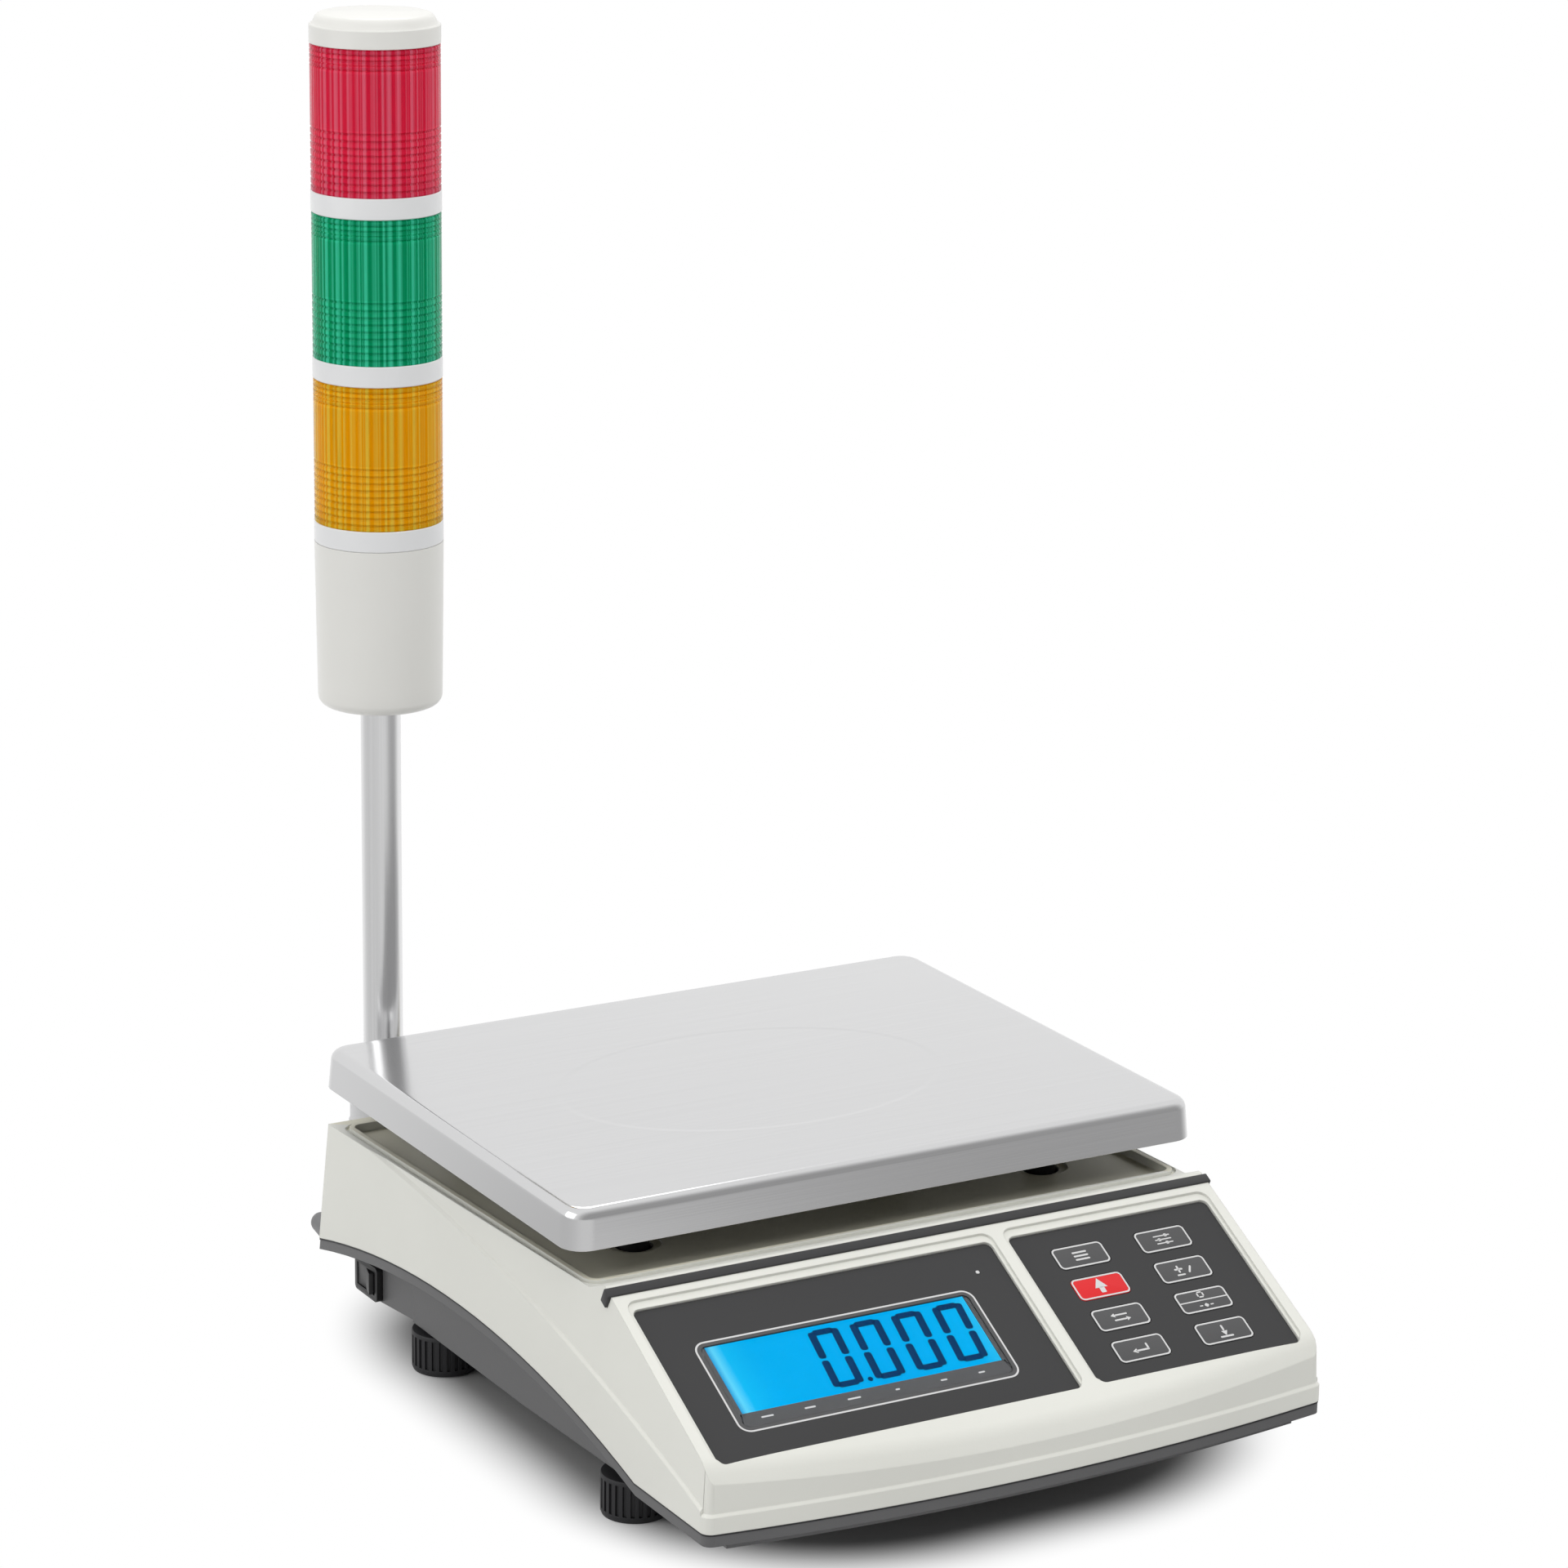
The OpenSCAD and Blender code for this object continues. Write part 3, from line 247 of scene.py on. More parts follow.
def welded(node, name, body, finish, angle=32, ease=0):
    """A node's own form as one welded skin with eased edges, so that it shades smoothly."""
    piece = bpy.data.objects.new(name, nodes[node].data.copy())
    scene.collection.objects.link(piece)
    only(piece)
    if piece.data.has_custom_normals:
        bpy.ops.mesh.customdata_custom_splitnormals_clear()
    bpy.ops.object.mode_set(mode="EDIT")
    bpy.ops.mesh.select_all(action="SELECT")
    bpy.ops.mesh.remove_doubles(threshold=weld_gap)
    if ease:
        bpy.ops.mesh.dissolve_limited(angle_limit=flat_angle)
    bpy.ops.object.mode_set(mode="OBJECT")
    if ease:
        round_off = piece.modifiers.new("round_off", "BEVEL")
        round_off.width, round_off.segments = ease, 2
        round_off.limit_method, round_off.angle_limit = "ANGLE", sharp_angle
        bpy.ops.object.modifier_apply(modifier="round_off")
    bpy.ops.object.shade_smooth_by_angle(angle=math.radians(angle))
    piece.data.materials.clear()
    piece.data.materials.append(finish)
    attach(piece, body)
    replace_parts(piece, node)
    return piece


base_grey = moulded("base_grey_grain", (0.108, 0.108, 0.11), 0.42, gloss=0.55)
welded("base_tray", "base_moulding", "case", base_grey)

# Levelling feet: black moulded knobs with a ring of grip grooves and a chamfered sole, pressed
# on zinc-plated studs that screw into brass inserts in the tub.
def marked(kind, test):
    """Selects the faces, edges or points that pass the test, by their middle and direction."""
    shape = bmesh.from_edit_mesh(bpy.context.object.data)
    bpy.ops.mesh.select_mode(type=kind)
    bpy.ops.mesh.select_all(action="DESELECT")
    if kind == "FACE":
        for face in shape.faces:
            if test(face.calc_center_median(), face.normal):
                face.select_set(True)
    elif kind == "EDGE":
        for edge in shape.edges:
            a, b = edge.verts[0].co, edge.verts[1].co
            if test((a + b) / 2, (b - a).normalized()):
                edge.select_set(True)
    else:
        for corner in shape.verts:
            if test(corner.co, corner.normal):
                corner.select_set(True)
    shape.select_flush_mode()
    bmesh.update_edit_mesh(bpy.context.object.data)


def placed(piece, name, body, finishes, angle=35):
    """Names a finished piece, lays its place into its mesh and hangs it on its body."""
    piece.name = name
    only(piece)
    bpy.ops.object.transform_apply(location=True, rotation=True, scale=True)
    bpy.ops.object.shade_smooth_by_angle(angle=math.radians(angle))
    for finish in finishes:
        piece.data.materials.append(finish)
    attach(piece, body)
    return piece


def metal(name, colour, rough, stretch=(1, 1, 1), scale=300, depth=0.00002, edge=0.0003):
    """A metal: fine marks of rolling or turning along one way, uneven sheen, broken edges."""
    finish, tree, shader = new_finish(name)
    shader.inputs["Metallic"].default_value = 1
    where = wired(tree, "TexCoord").outputs["Object"]
    drawn = wired(tree, "Mapping", {"Vector": where, "Scale": stretch}).outputs["Vector"]
    lines = wired(tree, "TexNoise", {"Vector": drawn, "Scale": scale, "Detail": 3})
    varied(tree, shader, lines.outputs["Fac"], colour, rough, dark=0.96, light=1.03, play=0.05)
    raised(tree, shader, lines.outputs["Fac"], depth, edge, strength=0.3)
    return finish


foot_black = moulded("foot_black_moulded", (0.018, 0.018, 0.02), 0.5, edge=0.0003)
zinc = metal("zinc_plated_steel", (0.62, 0.63, 0.65), 0.34)
foot_r, foot_h, sole_cut, rim_cut = 0.014, 0.0185, 0.0018, 0.0008
grips, grip_low, grip_high, grip_side, grip_deep = 26, 0.0032, 0.0165, 0.00018, 0.0009
stud_r, stud_long, stud_middle, stud_cut, hair = 0.004, 0.0213, 0.02935, 0.0008, 0.0001
for corner in ("front_left", "front_right", "rear_left", "rear_right"):
    low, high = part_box("foot_" + corner)
    middle = ((low + high) / 2).xy.to_3d()
    bpy.ops.object.select_all(action="DESELECT")
    bpy.ops.mesh.primitive_cylinder_add(vertices=grips * 4, radius=foot_r, depth=foot_h,
                                        location=(0, 0, foot_h / 2))
    knob = bpy.context.object
    bpy.ops.object.transform_apply(location=True, rotation=True, scale=True)
    bpy.ops.object.mode_set(mode="EDIT")
    marked("EDGE", lambda m, d: m.z < hair)
    bpy.ops.mesh.bevel(offset=sole_cut, segments=2)
    marked("EDGE", lambda m, d: m.z > foot_h - hair)
    bpy.ops.mesh.bevel(offset=rim_cut, segments=2)
    for cut in (grip_low, grip_high):
        bpy.ops.mesh.select_all(action="SELECT")
        bpy.ops.mesh.bisect(plane_co=(0, 0, cut), plane_no=(0, 0, 1))
    turn = lambda m: (math.degrees(math.atan2(m.y, m.x)) % 360) / (90 / grips)
    marked("FACE", lambda m, n: abs(n.z) < 0.1 and grip_low < m.z < grip_high
           and int(turn(m)) % 4 in (0, 1))
    bpy.ops.mesh.inset(thickness=grip_side, depth=-grip_deep)
    bpy.ops.object.mode_set(mode="OBJECT")
    bpy.ops.object.select_all(action="DESELECT")
    bpy.ops.mesh.primitive_cylinder_add(vertices=32, radius=stud_r, depth=stud_long)
    stud = bpy.context.object
    bpy.ops.object.mode_set(mode="EDIT")
    marked("EDGE", lambda m, d: m.z > stud_long / 2 - hair)
    bpy.ops.mesh.bevel(offset=stud_cut, segments=1)
    bpy.ops.object.mode_set(mode="OBJECT")
    knob.location, stud.location = middle, middle + Vector((0, 0, stud_middle))
    placed(knob, "foot_knob_" + corner, "foot_" + corner + "_leg", [foot_black])
    placed(stud, "foot_stud_" + corner, "foot_" + corner + "_leg", [zinc])
    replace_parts(knob, "foot_" + corner)
dress(metal("turned_brass", (0.75, 0.55, 0.22), 0.3), "foot_inserts")

# Works inside the base: a milled load cell between a steel plate and the block that carries the
# die-cast cross, the circuit boards on their bosses, the strapped battery, and all screws.
alloy = metal("milled_alloy", (0.66, 0.67, 0.69), 0.38, stretch=(1, 14, 14))
dress(alloy, "load_cell", "cell_block", "pan_cross")
dress(zinc, "small_screws", "cell_plate", "fixed_bolts", "live_bolts", "battery_strap", "case_screws",
      "bracket_screws", "bracket_nuts", "collar_nut")
dress(moulded("solder_mask_green", (0.03, 0.13, 0.06), 0.3,
              grain=260, depth=0.00008), "main_board", "display_board")
dress(moulded("battery_case_black", (0.03, 0.032, 0.036), 0.45), "battery_cell")
dress(moulded("vial_tinted", (0.42, 0.62, 0.1), 0.12, gloss=0.6), "bubble_level")

# Upper housing: one ivory moulding over the base, with the sloped panel, the crease along its
# sides and the sunken deck, whose faces get a warmer copy of the ivory as painted shade under the
# pan. A dark trim strip is let into the panel's ridge.
ivory = moulded("housing_ivory_grain", (0.765, 0.767, 0.713), 0.4,
                grain=1300, depth=0.00005, edge=0.0007, gloss=0.5)
# The deck's warmer colour is painted shade: the same ivory, tinted as it looks in the shadow under the
# pan.
deck_shade_tint = (0.79, 0.765, 0.63)
shell = welded("upper_housing", "housing_shell", "case", ivory, angle=24)
bpy.ops.object.mode_set(mode="EDIT")
low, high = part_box("pan_cross")
deck_past, upward = 0.03, 0.95
marked("FACE", lambda m, n: low.x - deck_past < m.x < high.x + deck_past
       and low.y - deck_past < m.y < high.y + deck_past and n.z > upward)
shell.data.materials.append(moulded("deck_painted_shade_grain", deck_shade_tint, 0.45,
                                    grain=1300, depth=0.00005, edge=0.0007, gloss=0.4))
bpy.context.object.active_material_index = 1
bpy.ops.object.material_slot_assign()
bpy.ops.object.mode_set(mode="OBJECT")
trim_dark = moulded("trim_dark_satin", (0.045, 0.045, 0.046), 0.4, gloss=0.25)
welded("trim_strip", "trim_bead", "case", trim_dark, ease=0.0005)

# Joint shadow: a thin black strip under the housing is painted shadow for the joint line. It is
# drawn off the housing's own lower edge, along both sides and the front, and given height and thickness.
shadow_strip_drop, shadow_strip_thick, shadow_strip_tuck, side_reach, front_reach = 0.0008, 0.0003, 0.9985, 0.004, 0.02
low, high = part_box("upper_housing")
only(shell)
bpy.ops.object.mode_set(mode="EDIT")
bpy.ops.mesh.select_mode(type="EDGE")
bpy.ops.mesh.select_all(action="DESELECT")
shape = bmesh.from_edit_mesh(shell.data)
for edge in shape.edges:
    spot = (edge.verts[0].co + edge.verts[1].co) / 2
    soles = [face for face in edge.link_faces if face.normal.z < -0.5]
    walls = [face for face in edge.link_faces
             if abs(face.normal.z) < 0.45 and face.normal.xy.dot(spot.xy) > 0.02]
    at_side, at_front = abs(spot.x) > high.x - side_reach, spot.y < low.y + front_reach
    edge.select_set(bool(soles and walls) and spot.y < high.y - side_reach and (at_side or at_front))
bmesh.update_edit_mesh(shell.data)
bpy.ops.mesh.duplicate()
bpy.ops.mesh.separate(type="SELECTED")
bpy.ops.object.mode_set(mode="OBJECT")
shadow_strip = [piece for piece in bpy.context.selected_objects if piece != shell][0]
del shadow_strip["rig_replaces"]
shadow_strip.data.materials.clear()
only(shadow_strip)
bpy.ops.object.mode_set(mode="EDIT")
bpy.ops.mesh.select_all(action="SELECT")
bpy.ops.mesh.extrude_region_move(TRANSFORM_OT_translate={"value": (0, 0, -shadow_strip_drop)})
bpy.ops.mesh.select_all(action="SELECT")
bpy.ops.transform.resize(value=(shadow_strip_tuck, shadow_strip_tuck, 1), center_override=(0, 0, 0))
bpy.ops.mesh.normals_make_consistent(inside=False)
bpy.ops.object.mode_set(mode="OBJECT")
shadow_strip_solid = shadow_strip.modifiers.new("shadow_strip_solid", "SOLIDIFY")
shadow_strip_solid.thickness, shadow_strip_solid.offset = shadow_strip_thick, 0
bpy.ops.object.modifier_apply(modifier="shadow_strip_solid")
placed(shadow_strip, "joint_shadow_strip", "case", [foot_black])

# Display: a dark embossed film round a clear window, with a printed white frame. Behind the
# window lie a grey mask and the backlit blue cell, with the reading in slanted bars.
slope, ridge = math.radians(27.8), Vector((0, -0.100625, 0.1054))


def on_panel(piece):
    """Lays a piece that was drawn flat onto the sloped panel."""
    piece.rotation_euler, piece.location = (slope, 0, 0), ridge
    return piece


def rounded_plate(wide, high, radius, x, y, z):
    """Starts a flat plate with rounded corners, selected all over, in edit mode."""
    bpy.ops.object.select_all(action="DESELECT")
    bpy.ops.mesh.primitive_plane_add(size=1, location=(x, y, z))
    plate = bpy.context.object
    plate.scale = (wide, high, 1)
    bpy.ops.object.transform_apply(location=True, rotation=True, scale=True)
    bpy.ops.object.mode_set(mode="EDIT")
    bpy.ops.mesh.select_all(action="SELECT")
    bpy.ops.mesh.bevel(affect="VERTICES", offset=radius, segments=7)
    bpy.ops.mesh.select_all(action="SELECT")
    return plate


def ring_plate(wide, high, radius, rim, x, y, z, thick):
    """A flat rounded frame, as a printed line stands on a film."""
    plate = rounded_plate(wide, high, radius, x, y, z)
    bpy.ops.mesh.inset(thickness=rim)
    bpy.ops.mesh.delete(type="FACE")
    bpy.ops.mesh.select_all(action="SELECT")
    bpy.ops.mesh.extrude_region_move(TRANSFORM_OT_translate={"value": (0, 0, thick)})
    bpy.ops.object.mode_set(mode="OBJECT")
    return plate


def marks(bars, z, thick, cut=0.0003):
    """Bars and wedges on one sheet, in mm: (x, y, length, width, turn), width 0 for a wedge."""
    bpy.ops.object.select_all(action="DESELECT")
    bpy.ops.mesh.primitive_plane_add(size=1)
    sheet = bpy.context.object
    bpy.ops.object.mode_set(mode="EDIT")
    bpy.ops.mesh.delete(type="VERT")
    for x, y, long, wide, turn in bars:
        spot = (x / 1000, y / 1000, z)
        if wide:
            bpy.ops.mesh.primitive_plane_add(size=0.001, location=spot)
            bpy.ops.transform.resize(value=(long, wide, 1), center_override=spot)
            bpy.ops.mesh.bevel(affect="VERTICES", offset=min(wide * 0.00033, cut), segments=1)
        else:
            bpy.ops.mesh.primitive_circle_add(vertices=3, radius=long / 1000, fill_type="NGON",
                                              location=spot)
        if turn:
            bpy.ops.transform.rotate(value=-math.radians(turn), orient_axis="Z", center_override=spot)
    bpy.ops.mesh.select_all(action="SELECT")
    bpy.ops.mesh.extrude_region_move(TRANSFORM_OT_translate={"value": (0, 0, thick)})
    bpy.ops.object.mode_set(mode="OBJECT")
    return sheet


film_dark = moulded("film_dark_embossed", (0.05, 0.05, 0.051), 0.5,
                    grain=1100, depth=0.00003, edge=0.0002, gloss=0.15)
mask_grey = moulded("mask_grey_print", (0.1, 0.1, 0.102), 0.5,
                    grain=1100, depth=0.00002, edge=0.0002, gloss=0.1)
print_white = moulded("print_white", (0.66, 0.66, 0.66), 0.5, grain=1100, depth=0.00002, edge=0.0001)
dress(film_dark, "display_overlay", "keypad_overlay")
film_z, ink_thick, frame_x, frame_y = -0.0021, 0.00003, -0.0552, -0.0587
frame_line = ring_plate(wide=0.1288, high=0.0478, radius=0.0052, rim=0.0008,
                        x=frame_x, y=frame_y, z=film_z, thick=0.00005)
placed(on_panel(frame_line), "display_frame_line", "case", [print_white])
border = ring_plate(wide=0.1273, high=0.0463, radius=0.0045, rim=0.0017,
                    x=frame_x, y=frame_y, z=film_z, thick=ink_thick)
placed(on_panel(border), "display_border", "case", [mask_grey])

mask_x, mask_y, mask_z, mask_thick = -0.0553, -0.0582, -0.0033, 0.00038
mask_wide, mask_high, mask_round, mask_rim = 0.1274, 0.0474, 0.003, 0.0045
sight_wide, sight_high, sight_right, sight_up = 0.1195, 0.0356, 0.00045, 0.0034
mask = rounded_plate(mask_wide, mask_high, mask_round, mask_x, mask_y, mask_z)
bpy.ops.mesh.inset(thickness=mask_rim)
inner_wide, inner_high = mask_wide - 2 * mask_rim, mask_high - 2 * mask_rim
bpy.ops.transform.resize(value=(sight_wide / inner_wide, sight_high / inner_high, 1),
                         center_override=(mask_x, mask_y, 0))
bpy.ops.transform.translate(value=(sight_right, sight_up, 0))
bpy.ops.mesh.delete(type="FACE")
bpy.ops.mesh.select_all(action="SELECT")
bpy.ops.mesh.extrude_region_move(TRANSFORM_OT_translate={"value": (0, 0, mask_thick)})
bpy.ops.object.mode_set(mode="OBJECT")
placed(on_panel(mask), "window_mask", "case", [mask_grey])
label_y, label_fall, label_wide, label_z = -76.2, 0.004, 0.8, -0.0029
labels = [(x, label_y - (x + 55) * label_fall, long, label_wide, 0) for x, long in
          ((-105, 5.5), (-85.8, 5), (-65.8, 6), (-45.9, 2), (-24.5, 3), (-6.9, 3))]
label_bars = marks(labels, label_z, ink_thick)
placed(on_panel(label_bars), "window_label_bars", "case", [print_white])
status_lamp = marks([(17, -27.5, 1.5, 1.5, 0)], film_z, 0.0003)
placed(on_panel(status_lamp), "status_lamp", "case", [print_white])

window, tree, shader = new_finish("window_clear_film")
shader.inputs["Transmission Weight"].default_value = 1
shader.inputs["IOR"].default_value = 1.08
shader.inputs["Base Color"].default_value = (0.97, 0.98, 0.99, 1)
where = wired(tree, "TexCoord").outputs["Object"]
smear = wired(tree, "TexNoise", {"Vector": where, "Scale": 60})
haze = wired(tree, "MapRange", {"Value": smear.outputs["Fac"], "To Min": 0.02, "To Max": 0.08})
tree.links.new(haze.outputs["Result"], shader.inputs["Roughness"])
dress(window, "lcd_window")


def dimmed(tree, colour, share):
    """A colour multiplied by a share."""
    mixed = wired(tree, "Mix", {"Factor": 1})
    mixed.data_type, mixed.blend_type = "RGBA", "MULTIPLY"
    tree.links.new(colour, mixed.inputs[6])
    tree.links.new(share, mixed.inputs[7])
    return mixed.outputs[2]


backlight, tree, shader = new_finish("backlit_blue")
shader.inputs["Base Color"].default_value = (0.0, 0.02, 0.05, 1)
shader.inputs["Roughness"].default_value = 0.4
shader.inputs["Specular IOR Level"].default_value = 0
shader.inputs["Emission Strength"].default_value = 1
cell_left, cell_right = -0.1146, 0.0051
where = wired(tree, "TexCoord").outputs["Object"]
apart = wired(tree, "SeparateXYZ", {0: where})
across = wired(tree, "MapRange", {"Value": apart.outputs["X"], "From Min": cell_left,
                                  "From Max": cell_right})
lit = ramp(tree, across.outputs["Result"], (0.0, (0.0, 0.26, 0.62)), (0.025, (0.12, 0.66, 0.92)),
           (0.06, (0.004, 0.48, 0.88)), (0.15, (0.0, 0.42, 0.85)), (0.6, (0.0, 0.39, 0.82)),
           (0.94, (0.0, 0.42, 0.84)), (1.0, (0.02, 0.5, 0.85)))
uneven = wired(tree, "TexNoise", {"Vector": where, "Scale": 40})
level = wired(tree, "MapRange", {"Value": uneven.outputs["Fac"], "To Min": 0.94, "To Max": 1.06})
shown = dimmed(tree, lit.outputs["Color"], level.outputs["Result"])
tree.links.new(shown, shader.inputs["Emission Color"])
cell_edge = moulded("cell_edge_blue", (0.0, 0.1, 0.25), 0.3)
dress(cell_edge, "lcd_module")
cell_z, cell_thick, cell_rim = -0.0039, 0.00025, 0.0004
face = rounded_plate(wide=0.1215, high=0.0365, radius=cell_rim, x=-0.05475, y=-0.05505, z=cell_z)
bpy.ops.mesh.extrude_region_move(TRANSFORM_OT_translate={"value": (0, 0, cell_thick)})
bpy.ops.mesh.inset(thickness=cell_rim)
bpy.ops.object.mode_set(mode="OBJECT")
placed(on_panel(face), "backlit_cell", "case", [backlight])

digit_left, digit_pitch, digit_foot, digit_wide, digit_high = -70.6, 19.27, -69.0, 13.2, 29.7
digit_slip, upright_in, upright_long, upright_wide, flat_long, flat_wide = 2.1, 1.35, 13.9, 3.4, 9.4, 2.9
upright_rows, flat_rows, point, ink_z, ink_cut = (-61.65, -46.65), (-67.9, -40.4), 2.3, -0.00364, 0.0008
lean = math.degrees(math.atan2(digit_slip, digit_high))
slip = lambda y: (y - digit_foot) / digit_high * digit_slip
bars = []
for digit in range(4):
    left = digit_left + digit_pitch * digit
    for side in (upright_in, digit_wide - upright_in):
        for y in upright_rows:
            bars.append((left + side + slip(y), y, upright_long, upright_wide, 90 - lean))
    for y in flat_rows:
        bars.append((left + digit_wide / 2 + slip(y), y, flat_long, flat_wide, 0))
bars.append((-54, -68.0, point, point, 0))
ink = moulded("cell_ink_navy", (0.004, 0.04, 0.125), 0.4, gloss=0)
reading = marks(bars, ink_z, ink_thick, ink_cut)
placed(on_panel(reading), "reading_bars", "case", [ink])

# Keys: embossed caps that stand just proud of the film, grey with one red, each with a printed
# white rim and a plain pictogram; the words of the original are left off.
key_grey = moulded("key_grey_film", (0.095, 0.095, 0.097), 0.48,
                   grain=1100, depth=0.00003, edge=0.0002, gloss=0.15)
key_red = moulded("key_red_film", (0.72, 0.03, 0.034), 0.45,
                  grain=1100, depth=0.00003, edge=0.0002, gloss=0.15)
signs = {1: [(0, 1.9, 7, 0.9, 0), (0, 0, 7, 0.9, 0), (0, -1.9, 7, 0.9, 0)],
         2: [(0, 1, 3.4, 0, 0), (0, -2, 2.4, 3, 0)],
         3: [(0.6, 1.3, 6, 0.8, 0), (-3, 1.3, 1.3, 0, 90), (-0.6, -1.3, 6, 0.8, 0),
             (3, -1.3, 1.3, 0, -90)],
         4: [(0.4, -1, 6.4, 0.9, 0), (3.2, 0.6, 3.2, 0.9, 90), (-3, -1, 1.5, 0, 90)],
         5: [(0, 2, 8, 0.6, 0), (0, 0, 8, 0.6, 0), (0, -2, 8, 0.6, 0), (2, 2, 1.4, 1.6, 0),
             (-1.8, 0, 1.4, 1.6, 0), (1, -2, 1.4, 1.6, 0)],
         6: [(-2.2, 0.5, 4, 0.9, 0), (-2.2, 0.5, 4, 0.9, 90), (-2.2, -2.6, 4, 0.8, 0),
             (3, -0.4, 4, 0.9, 60)],
         7: [(0, 0, 23, 0.6, 0), (0, 4.3, 2.2, 0.7, 0), (0, 1.7, 2.2, 0.7, 0), (-1.3, 3, 1.9, 0.7, 90),
             (1.3, 3, 1.9, 0.7, 90), (0, -2.9, 1.7, 1.7, 45), (-2.6, -2.9, 1.6, 0.6, 0),
             (2.6, -2.9, 1.6, 0.6, 0)],
         8: [(0, 1.6, 3, 0.9, 90), (0, -0.9, 1.7, 0, 180), (0, -3, 6.4, 0.9, 0)]}
key_columns, key_top, key_pitch, cap_z, rim_thick = (66, 106.6), -29.4, 17.4, -0.0019, 0.00004
for number in range(1, 9):
    x = key_columns[(number - 1) // 4]
    y = key_top - key_pitch * ((number - 1) % 4)
    key, body = "key_%d" % number, "key_%d_cap" % number
    welded(key, key + "_pad", body, key_red if number == 2 else key_grey, ease=0.00025)
    rim = ring_plate(wide=0.0243, high=0.0114, radius=0.0023, rim=0.00075,
                     x=x / 1000, y=y / 1000, z=cap_z, thick=rim_thick)
    placed(on_panel(rim), key + "_rim", body, [print_white])
    sign = marks([(x + a, y + b, long, wide, turn) for a, b, long, wide, turn in signs[number]],
                 cap_z, rim_thick)
    placed(on_panel(sign), key + "_sign", body, [print_white])

# Weighing pan: one sheet of satin stainless steel, drawn down to a skirt with rounded corners
# that flares a little, resting on four black rubber caps over the posts of the cross.
pan_steel = metal("pan_satin_steel", (0.66, 0.66, 0.665), 0.14,
                  stretch=(0.03, 20, 20), scale=260, depth=0.000004)
# The pan's underside is a dark dull copy of the steel: painted shade, to darken the gap over the deck.
pan_underside_shade = metal("pan_underside_painted_shade", (0.2, 0.195, 0.175), 0.6, stretch=(0.03, 20, 20))
oval_middle, oval_half, oval_in, oval_out = (-0.005, 0.0269, 0.132), (0.087, 0.061, 1), 0.975, 1.025
tree = pan_steel.node_tree
where = wired(tree, "TexCoord").outputs["Object"]
oval = wired(tree, "Mapping", {"Vector": where, "Location": oval_middle, "Scale": oval_half})
oval.vector_type = "TEXTURE"
reach = wired(tree, "VectorMath", {0: oval.outputs["Vector"]}, "LENGTH").outputs["Value"]
emboss = wired(tree, "Bump", {"Height": eased(tree, reach, oval_in, oval_out), "Strength": 0.5,
                             "Distance": 0.0004, "Normal": tree.nodes["Bump"].outputs["Normal"]})
tree.links.new(emboss.outputs["Normal"], tree.nodes["Principled BSDF"].inputs["Normal"])
flare, pan_corner, pan_bend, pan_thick = 0.0017, 0.0105, 0.0047, 0.0012
low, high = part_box("weighing_pan")
middle, span = (low + high) / 2, high - low
bpy.ops.object.select_all(action="DESELECT")
bpy.ops.mesh.primitive_cube_add(size=1, location=middle)
pan = bpy.context.object
pan.scale = (span.x - flare, span.y - flare, span.z)
bpy.ops.object.transform_apply(location=True, rotation=True, scale=True)
bpy.ops.object.mode_set(mode="EDIT")
marked("FACE", lambda m, n: n.z < -0.9)
bpy.ops.mesh.delete(type="FACE")
marked("EDGE", lambda m, d: abs(d.z) > 0.9)
bpy.ops.mesh.bevel(offset=pan_corner, segments=8)
marked("EDGE", lambda m, d: m.z > high.z - hair / 10)
bpy.ops.mesh.bevel(offset=pan_bend, segments=7)
marked("VERT", lambda m, n: m.z < low.z + hair)
bpy.ops.transform.resize(value=(span.x / (span.x - flare), span.y / (span.y - flare), 1),
                         center_override=middle)
bpy.ops.mesh.select_all(action="SELECT")
bpy.ops.mesh.normals_make_consistent(inside=False)
bpy.ops.object.mode_set(mode="OBJECT")
sheet = pan.modifiers.new("sheet", "SOLIDIFY")
sheet.thickness, sheet.offset, sheet.material_offset = pan_thick, -1, 1
pan.data.materials.append(pan_steel)
pan.data.materials.append(pan_underside_shade)
bpy.ops.object.modifier_apply(modifier="sheet")
placed(pan, "pan_sheet", "pan", [], angle=40)
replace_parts(pan, "weighing_pan")
dress(moulded("cap_black_rubber", (0.012, 0.012, 0.013), 0.7, grain=700, gloss=0.25), "rubber_caps")

# Switch, socket and gland: glossy black fittings in the side and rear of the base, and a grey
# dome-nut gland that leads the tower's cable in at the joint line.
fitting = moulded("fitting_black", (0.012, 0.012, 0.013), 0.32,
                  grain=900, depth=0.00003, edge=0.0004, gloss=0.5)
welded("switch_body", "switch_bezel", "case", fitting, ease=0.0005)
welded("switch_rocker", "switch_paddle", "rocker", fitting, ease=0.0004)
welded("charge_inlet", "charge_socket", "case", fitting, ease=0.0004)
gland_grey = moulded("gland_grey", (0.2, 0.2, 0.205), 0.45)
welded("cable_gland", "gland_dome", "case", gland_grey, ease=0.0004)

# Pole and bracket: a powder-coated angle bolted to the rear wall holds a clamped collar, and a
# bright anodised tube rises from it to the signal tower.
coat_silver = moulded("bracket_silver_coat", (0.66, 0.66, 0.67), 0.4, grain=900, depth=0.00008)
welded("pole_bracket", "bracket_angle", "case", coat_silver, ease=0.0005)
welded("pole_collar", "collar_turned", "case", coat_silver, ease=0.0004)
dress(fitting, "collar_screw")
pole_alu = metal("pole_bright_tube", (0.78, 0.78, 0.785), 0.25,
                 stretch=(14, 14, 0.02), scale=200, depth=0.000004)
welded("pole", "pole_tube", "case", pole_alu)

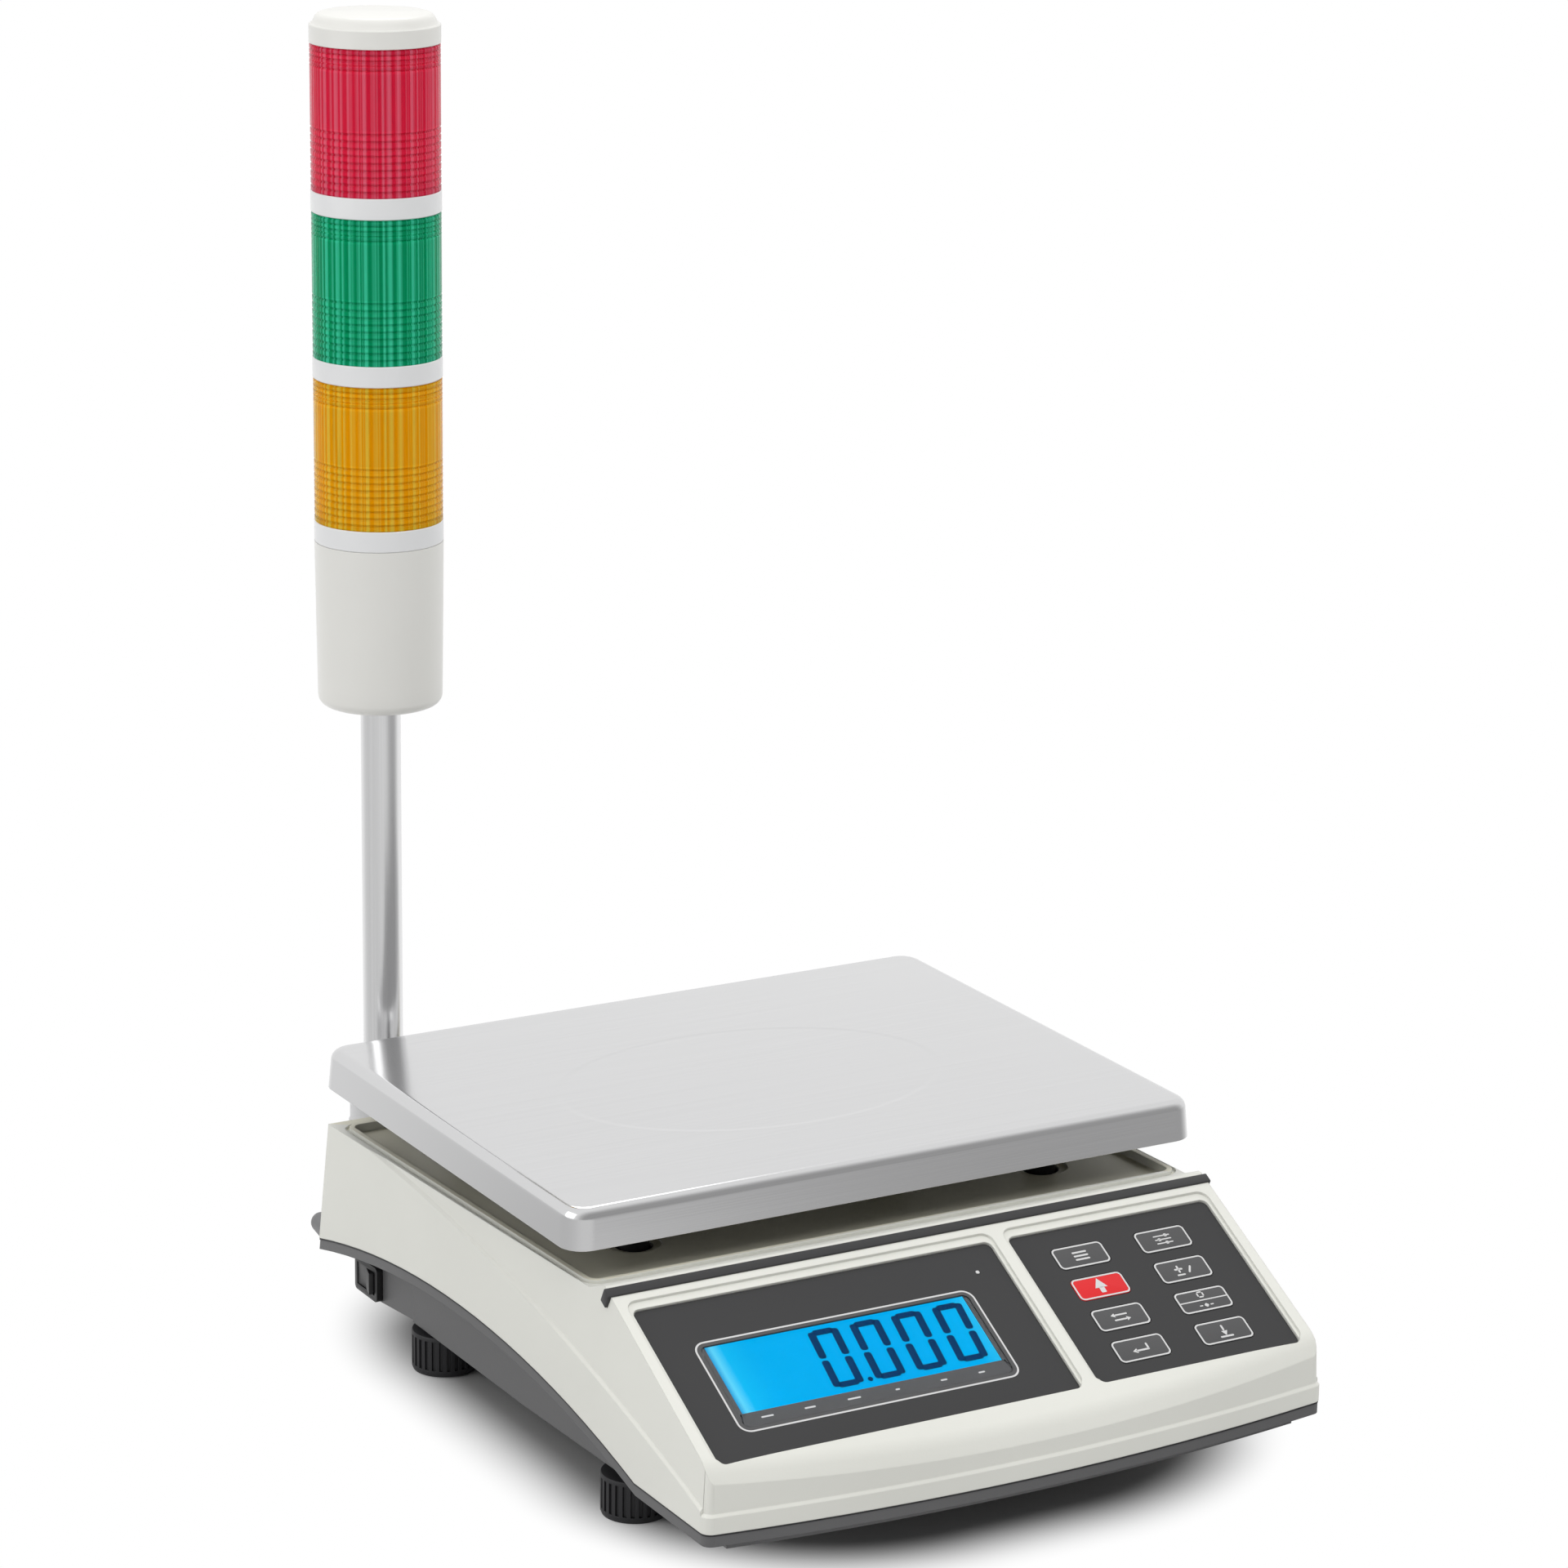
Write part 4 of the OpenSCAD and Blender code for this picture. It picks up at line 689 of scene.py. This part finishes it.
# Signal tower: an ivory base and cap, silver-white separator rings and three clear tinted lenses,
# ribbed outside and fluted inside, each round a stick of small lamps. A thin lead runs up the lowest.
tower_ivory = moulded("tower_ivory", (0.775, 0.77, 0.735), 0.3,
                      grain=1200, depth=0.00002, edge=0.0006, gloss=0.5)
ring_white = moulded("ring_silver_white", (0.78, 0.785, 0.79), 0.25,
                     grain=1200, depth=0.00002, edge=0.0003, gloss=0.6)
welded("tower_base", "tower_foot", "case", tower_ivory)
welded("tower_cap", "tower_crown", "case", tower_ivory, angle=40)
for level_name in ("low", "mid", "high"):
    welded("ring_" + level_name, "separator_" + level_name, "case", ring_white)

low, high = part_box("pole")
axis = ((low + high) / 2).xy.to_3d()
rib_pitch, rib_tint_and_shade = 0.00303, (0.1, 0.1, 0.1)


def clear_lens(name, thin, thick, foot, top):
    """A clear tinted plastic: uneven flutes round the axis, and bands of ribs up its height, tinted
    partly for thickness and partly as painted rib shading.
    """
    finish, tree, shader = new_finish(name)
    shader.inputs["Transmission Weight"].default_value = 0.5
    shader.inputs["IOR"].default_value = 1.12
    shader.inputs["Roughness"].default_value = 0.1
    where = wired(tree, "TexCoord").outputs["Object"]
    centred = wired(tree, "Mapping", {"Vector": where, "Location": -Vector((axis.x, axis.y, foot))})
    apart = wired(tree, "SeparateXYZ", {0: centred.outputs["Vector"]}).outputs
    round_about = wired(tree, "Math", {0: apart["Y"], 1: apart["X"]}, "ARCTAN2")
    flutes = wired(tree, "TexNoise")
    flutes.noise_dimensions = "1D"
    flutes.inputs["Scale"].default_value, flutes.inputs["Detail"].default_value = 13, 2
    tree.links.new(round_about.outputs[0], flutes.inputs["W"])
    depth = ramp(tree, flutes.outputs["Fac"], (0.42, thick), (0.64, thin))
    # The tint's rib bands are partly the plastic's thickness and partly painted rib shading.
    turns = wired(tree, "Math", {0: apart["Z"], 1: math.tau / rib_pitch}, "MULTIPLY")
    wave = wired(tree, "Math", {0: turns.outputs[0]}, "SINE")
    height = wired(tree, "MapRange", {"Value": apart["Z"], "From Max": top - foot})
    ribbed = ramp(tree, height.outputs["Result"], (0.0, rib_tint_and_shade), (0.45, (0, 0, 0)), (0.83, rib_tint_and_shade))
    ribbed.color_ramp.interpolation = "CONSTANT"
    share = wired(tree, "Math", {0: wave.outputs[0], 1: ribbed.outputs["Color"], 2: 0.92}, "MULTIPLY_ADD")
    rib_tint_and_shade_banded = dimmed(tree, depth.outputs["Color"], share.outputs[0])
    fluting = wired(tree, "Bump", {"Height": flutes.outputs["Fac"], "Strength": 0.5, "Distance": 0.0006})
    tree.links.new(rib_tint_and_shade_banded, shader.inputs["Base Color"])
    tree.links.new(fluting.outputs["Normal"], shader.inputs["Normal"])
    return finish


stick_pale = moulded("lamp_stick_pale", (0.85, 0.85, 0.83), 0.4)
chip_amber = moulded("lamp_chip_amber", (0.75, 0.68, 0.4), 0.2)
lead_dark = moulded("lead_dark", (0.015, 0.015, 0.016), 0.5)
plate_r, plate_thick, plate_cut, stick_in, stick_high = 0.02, 0.0016, 0.0004, 0.0128, 0.0565
chip, chip_out, chip_low, chip_pitch, seat = 0.0032, 0.0062, 0.008, 0.0108, 0.0004
lead_r, lead_long, lead_middle, lead_cuts = 0.0009, 0.0585, 0.0295, (0.012, 0.024, 0.036, 0.048)
lead_way, lead_out, lead_wave, lead_turns = Vector((-0.867, 0.499, 0)), 0.018, 0.0006, 110
for colour, thin, thick, turn in (("amber", (1.0, 0.76, 0.08), (1.0, 0.47, 0.0), 20),
                                  ("green", (0.08, 0.86, 0.55), (0.0, 0.4, 0.17), 0),
                                  ("red", (1.0, 0.2, 0.31), (0.88, 0.02, 0.08), -15)):
    low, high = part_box("lens_" + colour)
    tint = clear_lens("lens_" + colour + "_clear", thin, thick, low.z, high.z)
    welded("lens_" + colour, "lens_shell_" + colour, "case", tint, angle=20)

    bpy.ops.object.select_all(action="DESELECT")
    bpy.ops.mesh.primitive_cylinder_add(vertices=48, radius=plate_r, depth=plate_thick,
                                        location=(0, 0, -plate_thick / 2))
    stick = bpy.context.object
    bpy.ops.object.mode_set(mode="EDIT")
    marked("EDGE", lambda m, d: m.z > plate_thick / 2 - hair)
    bpy.ops.mesh.bevel(offset=plate_cut, segments=1)
    marked("FACE", lambda m, n: n.z > 0.9)
    bpy.ops.mesh.inset(thickness=stick_in)
    bpy.ops.mesh.extrude_region_move(TRANSFORM_OT_translate={"value": (0, 0, stick_high)})
    bpy.ops.object.mode_set(mode="OBJECT")
    bpy.ops.object.transform_apply(location=True, rotation=True, scale=True)
    stick.data.materials.append(stick_pale)
    stick.data.materials.append(chip_amber)
    bpy.ops.object.mode_set(mode="EDIT")
    for row in range(5):
        for side in range(4):
            angle = math.radians(90 * side + turn)
            bpy.ops.mesh.primitive_cube_add(size=chip, rotation=(0, 0, angle), location=(
                chip_out * math.cos(angle), chip_out * math.sin(angle), chip_low + chip_pitch * row))
            bpy.context.object.active_material_index = 1
            bpy.ops.object.material_slot_assign()
    bpy.ops.object.mode_set(mode="OBJECT")
    stick.location = axis + Vector((0, 0, low.z - seat))
    placed(stick, "lamp_stick_" + colour, "case", [])
    if colour == "amber":
        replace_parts(stick, "lamp_cores")
        bpy.ops.object.select_all(action="DESELECT")
        bpy.ops.mesh.primitive_cylinder_add(vertices=16, radius=lead_r, depth=lead_long,
                                            location=(0, 0, lead_middle))
        lead = bpy.context.object
        bpy.ops.object.transform_apply(location=True, rotation=True, scale=True)
        bpy.ops.object.mode_set(mode="EDIT")
        for cut in lead_cuts:
            bpy.ops.mesh.select_all(action="SELECT")
            bpy.ops.mesh.bisect(plane_co=(0, 0, cut), plane_no=(0, 0, 1))
            marked("VERT", lambda m, n: abs(m.z - cut) < hair)
            bpy.ops.transform.translate(value=(lead_wave * math.sin(cut * lead_turns), 0, 0))
        bpy.ops.object.mode_set(mode="OBJECT")
        lead.location = axis + lead_way * lead_out + Vector((0, 0, low.z + seat))
        placed(lead, "tower_lead", "case", [lead_dark])

size = {"cad": cad_box, "scene": [list(corner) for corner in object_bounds()]}
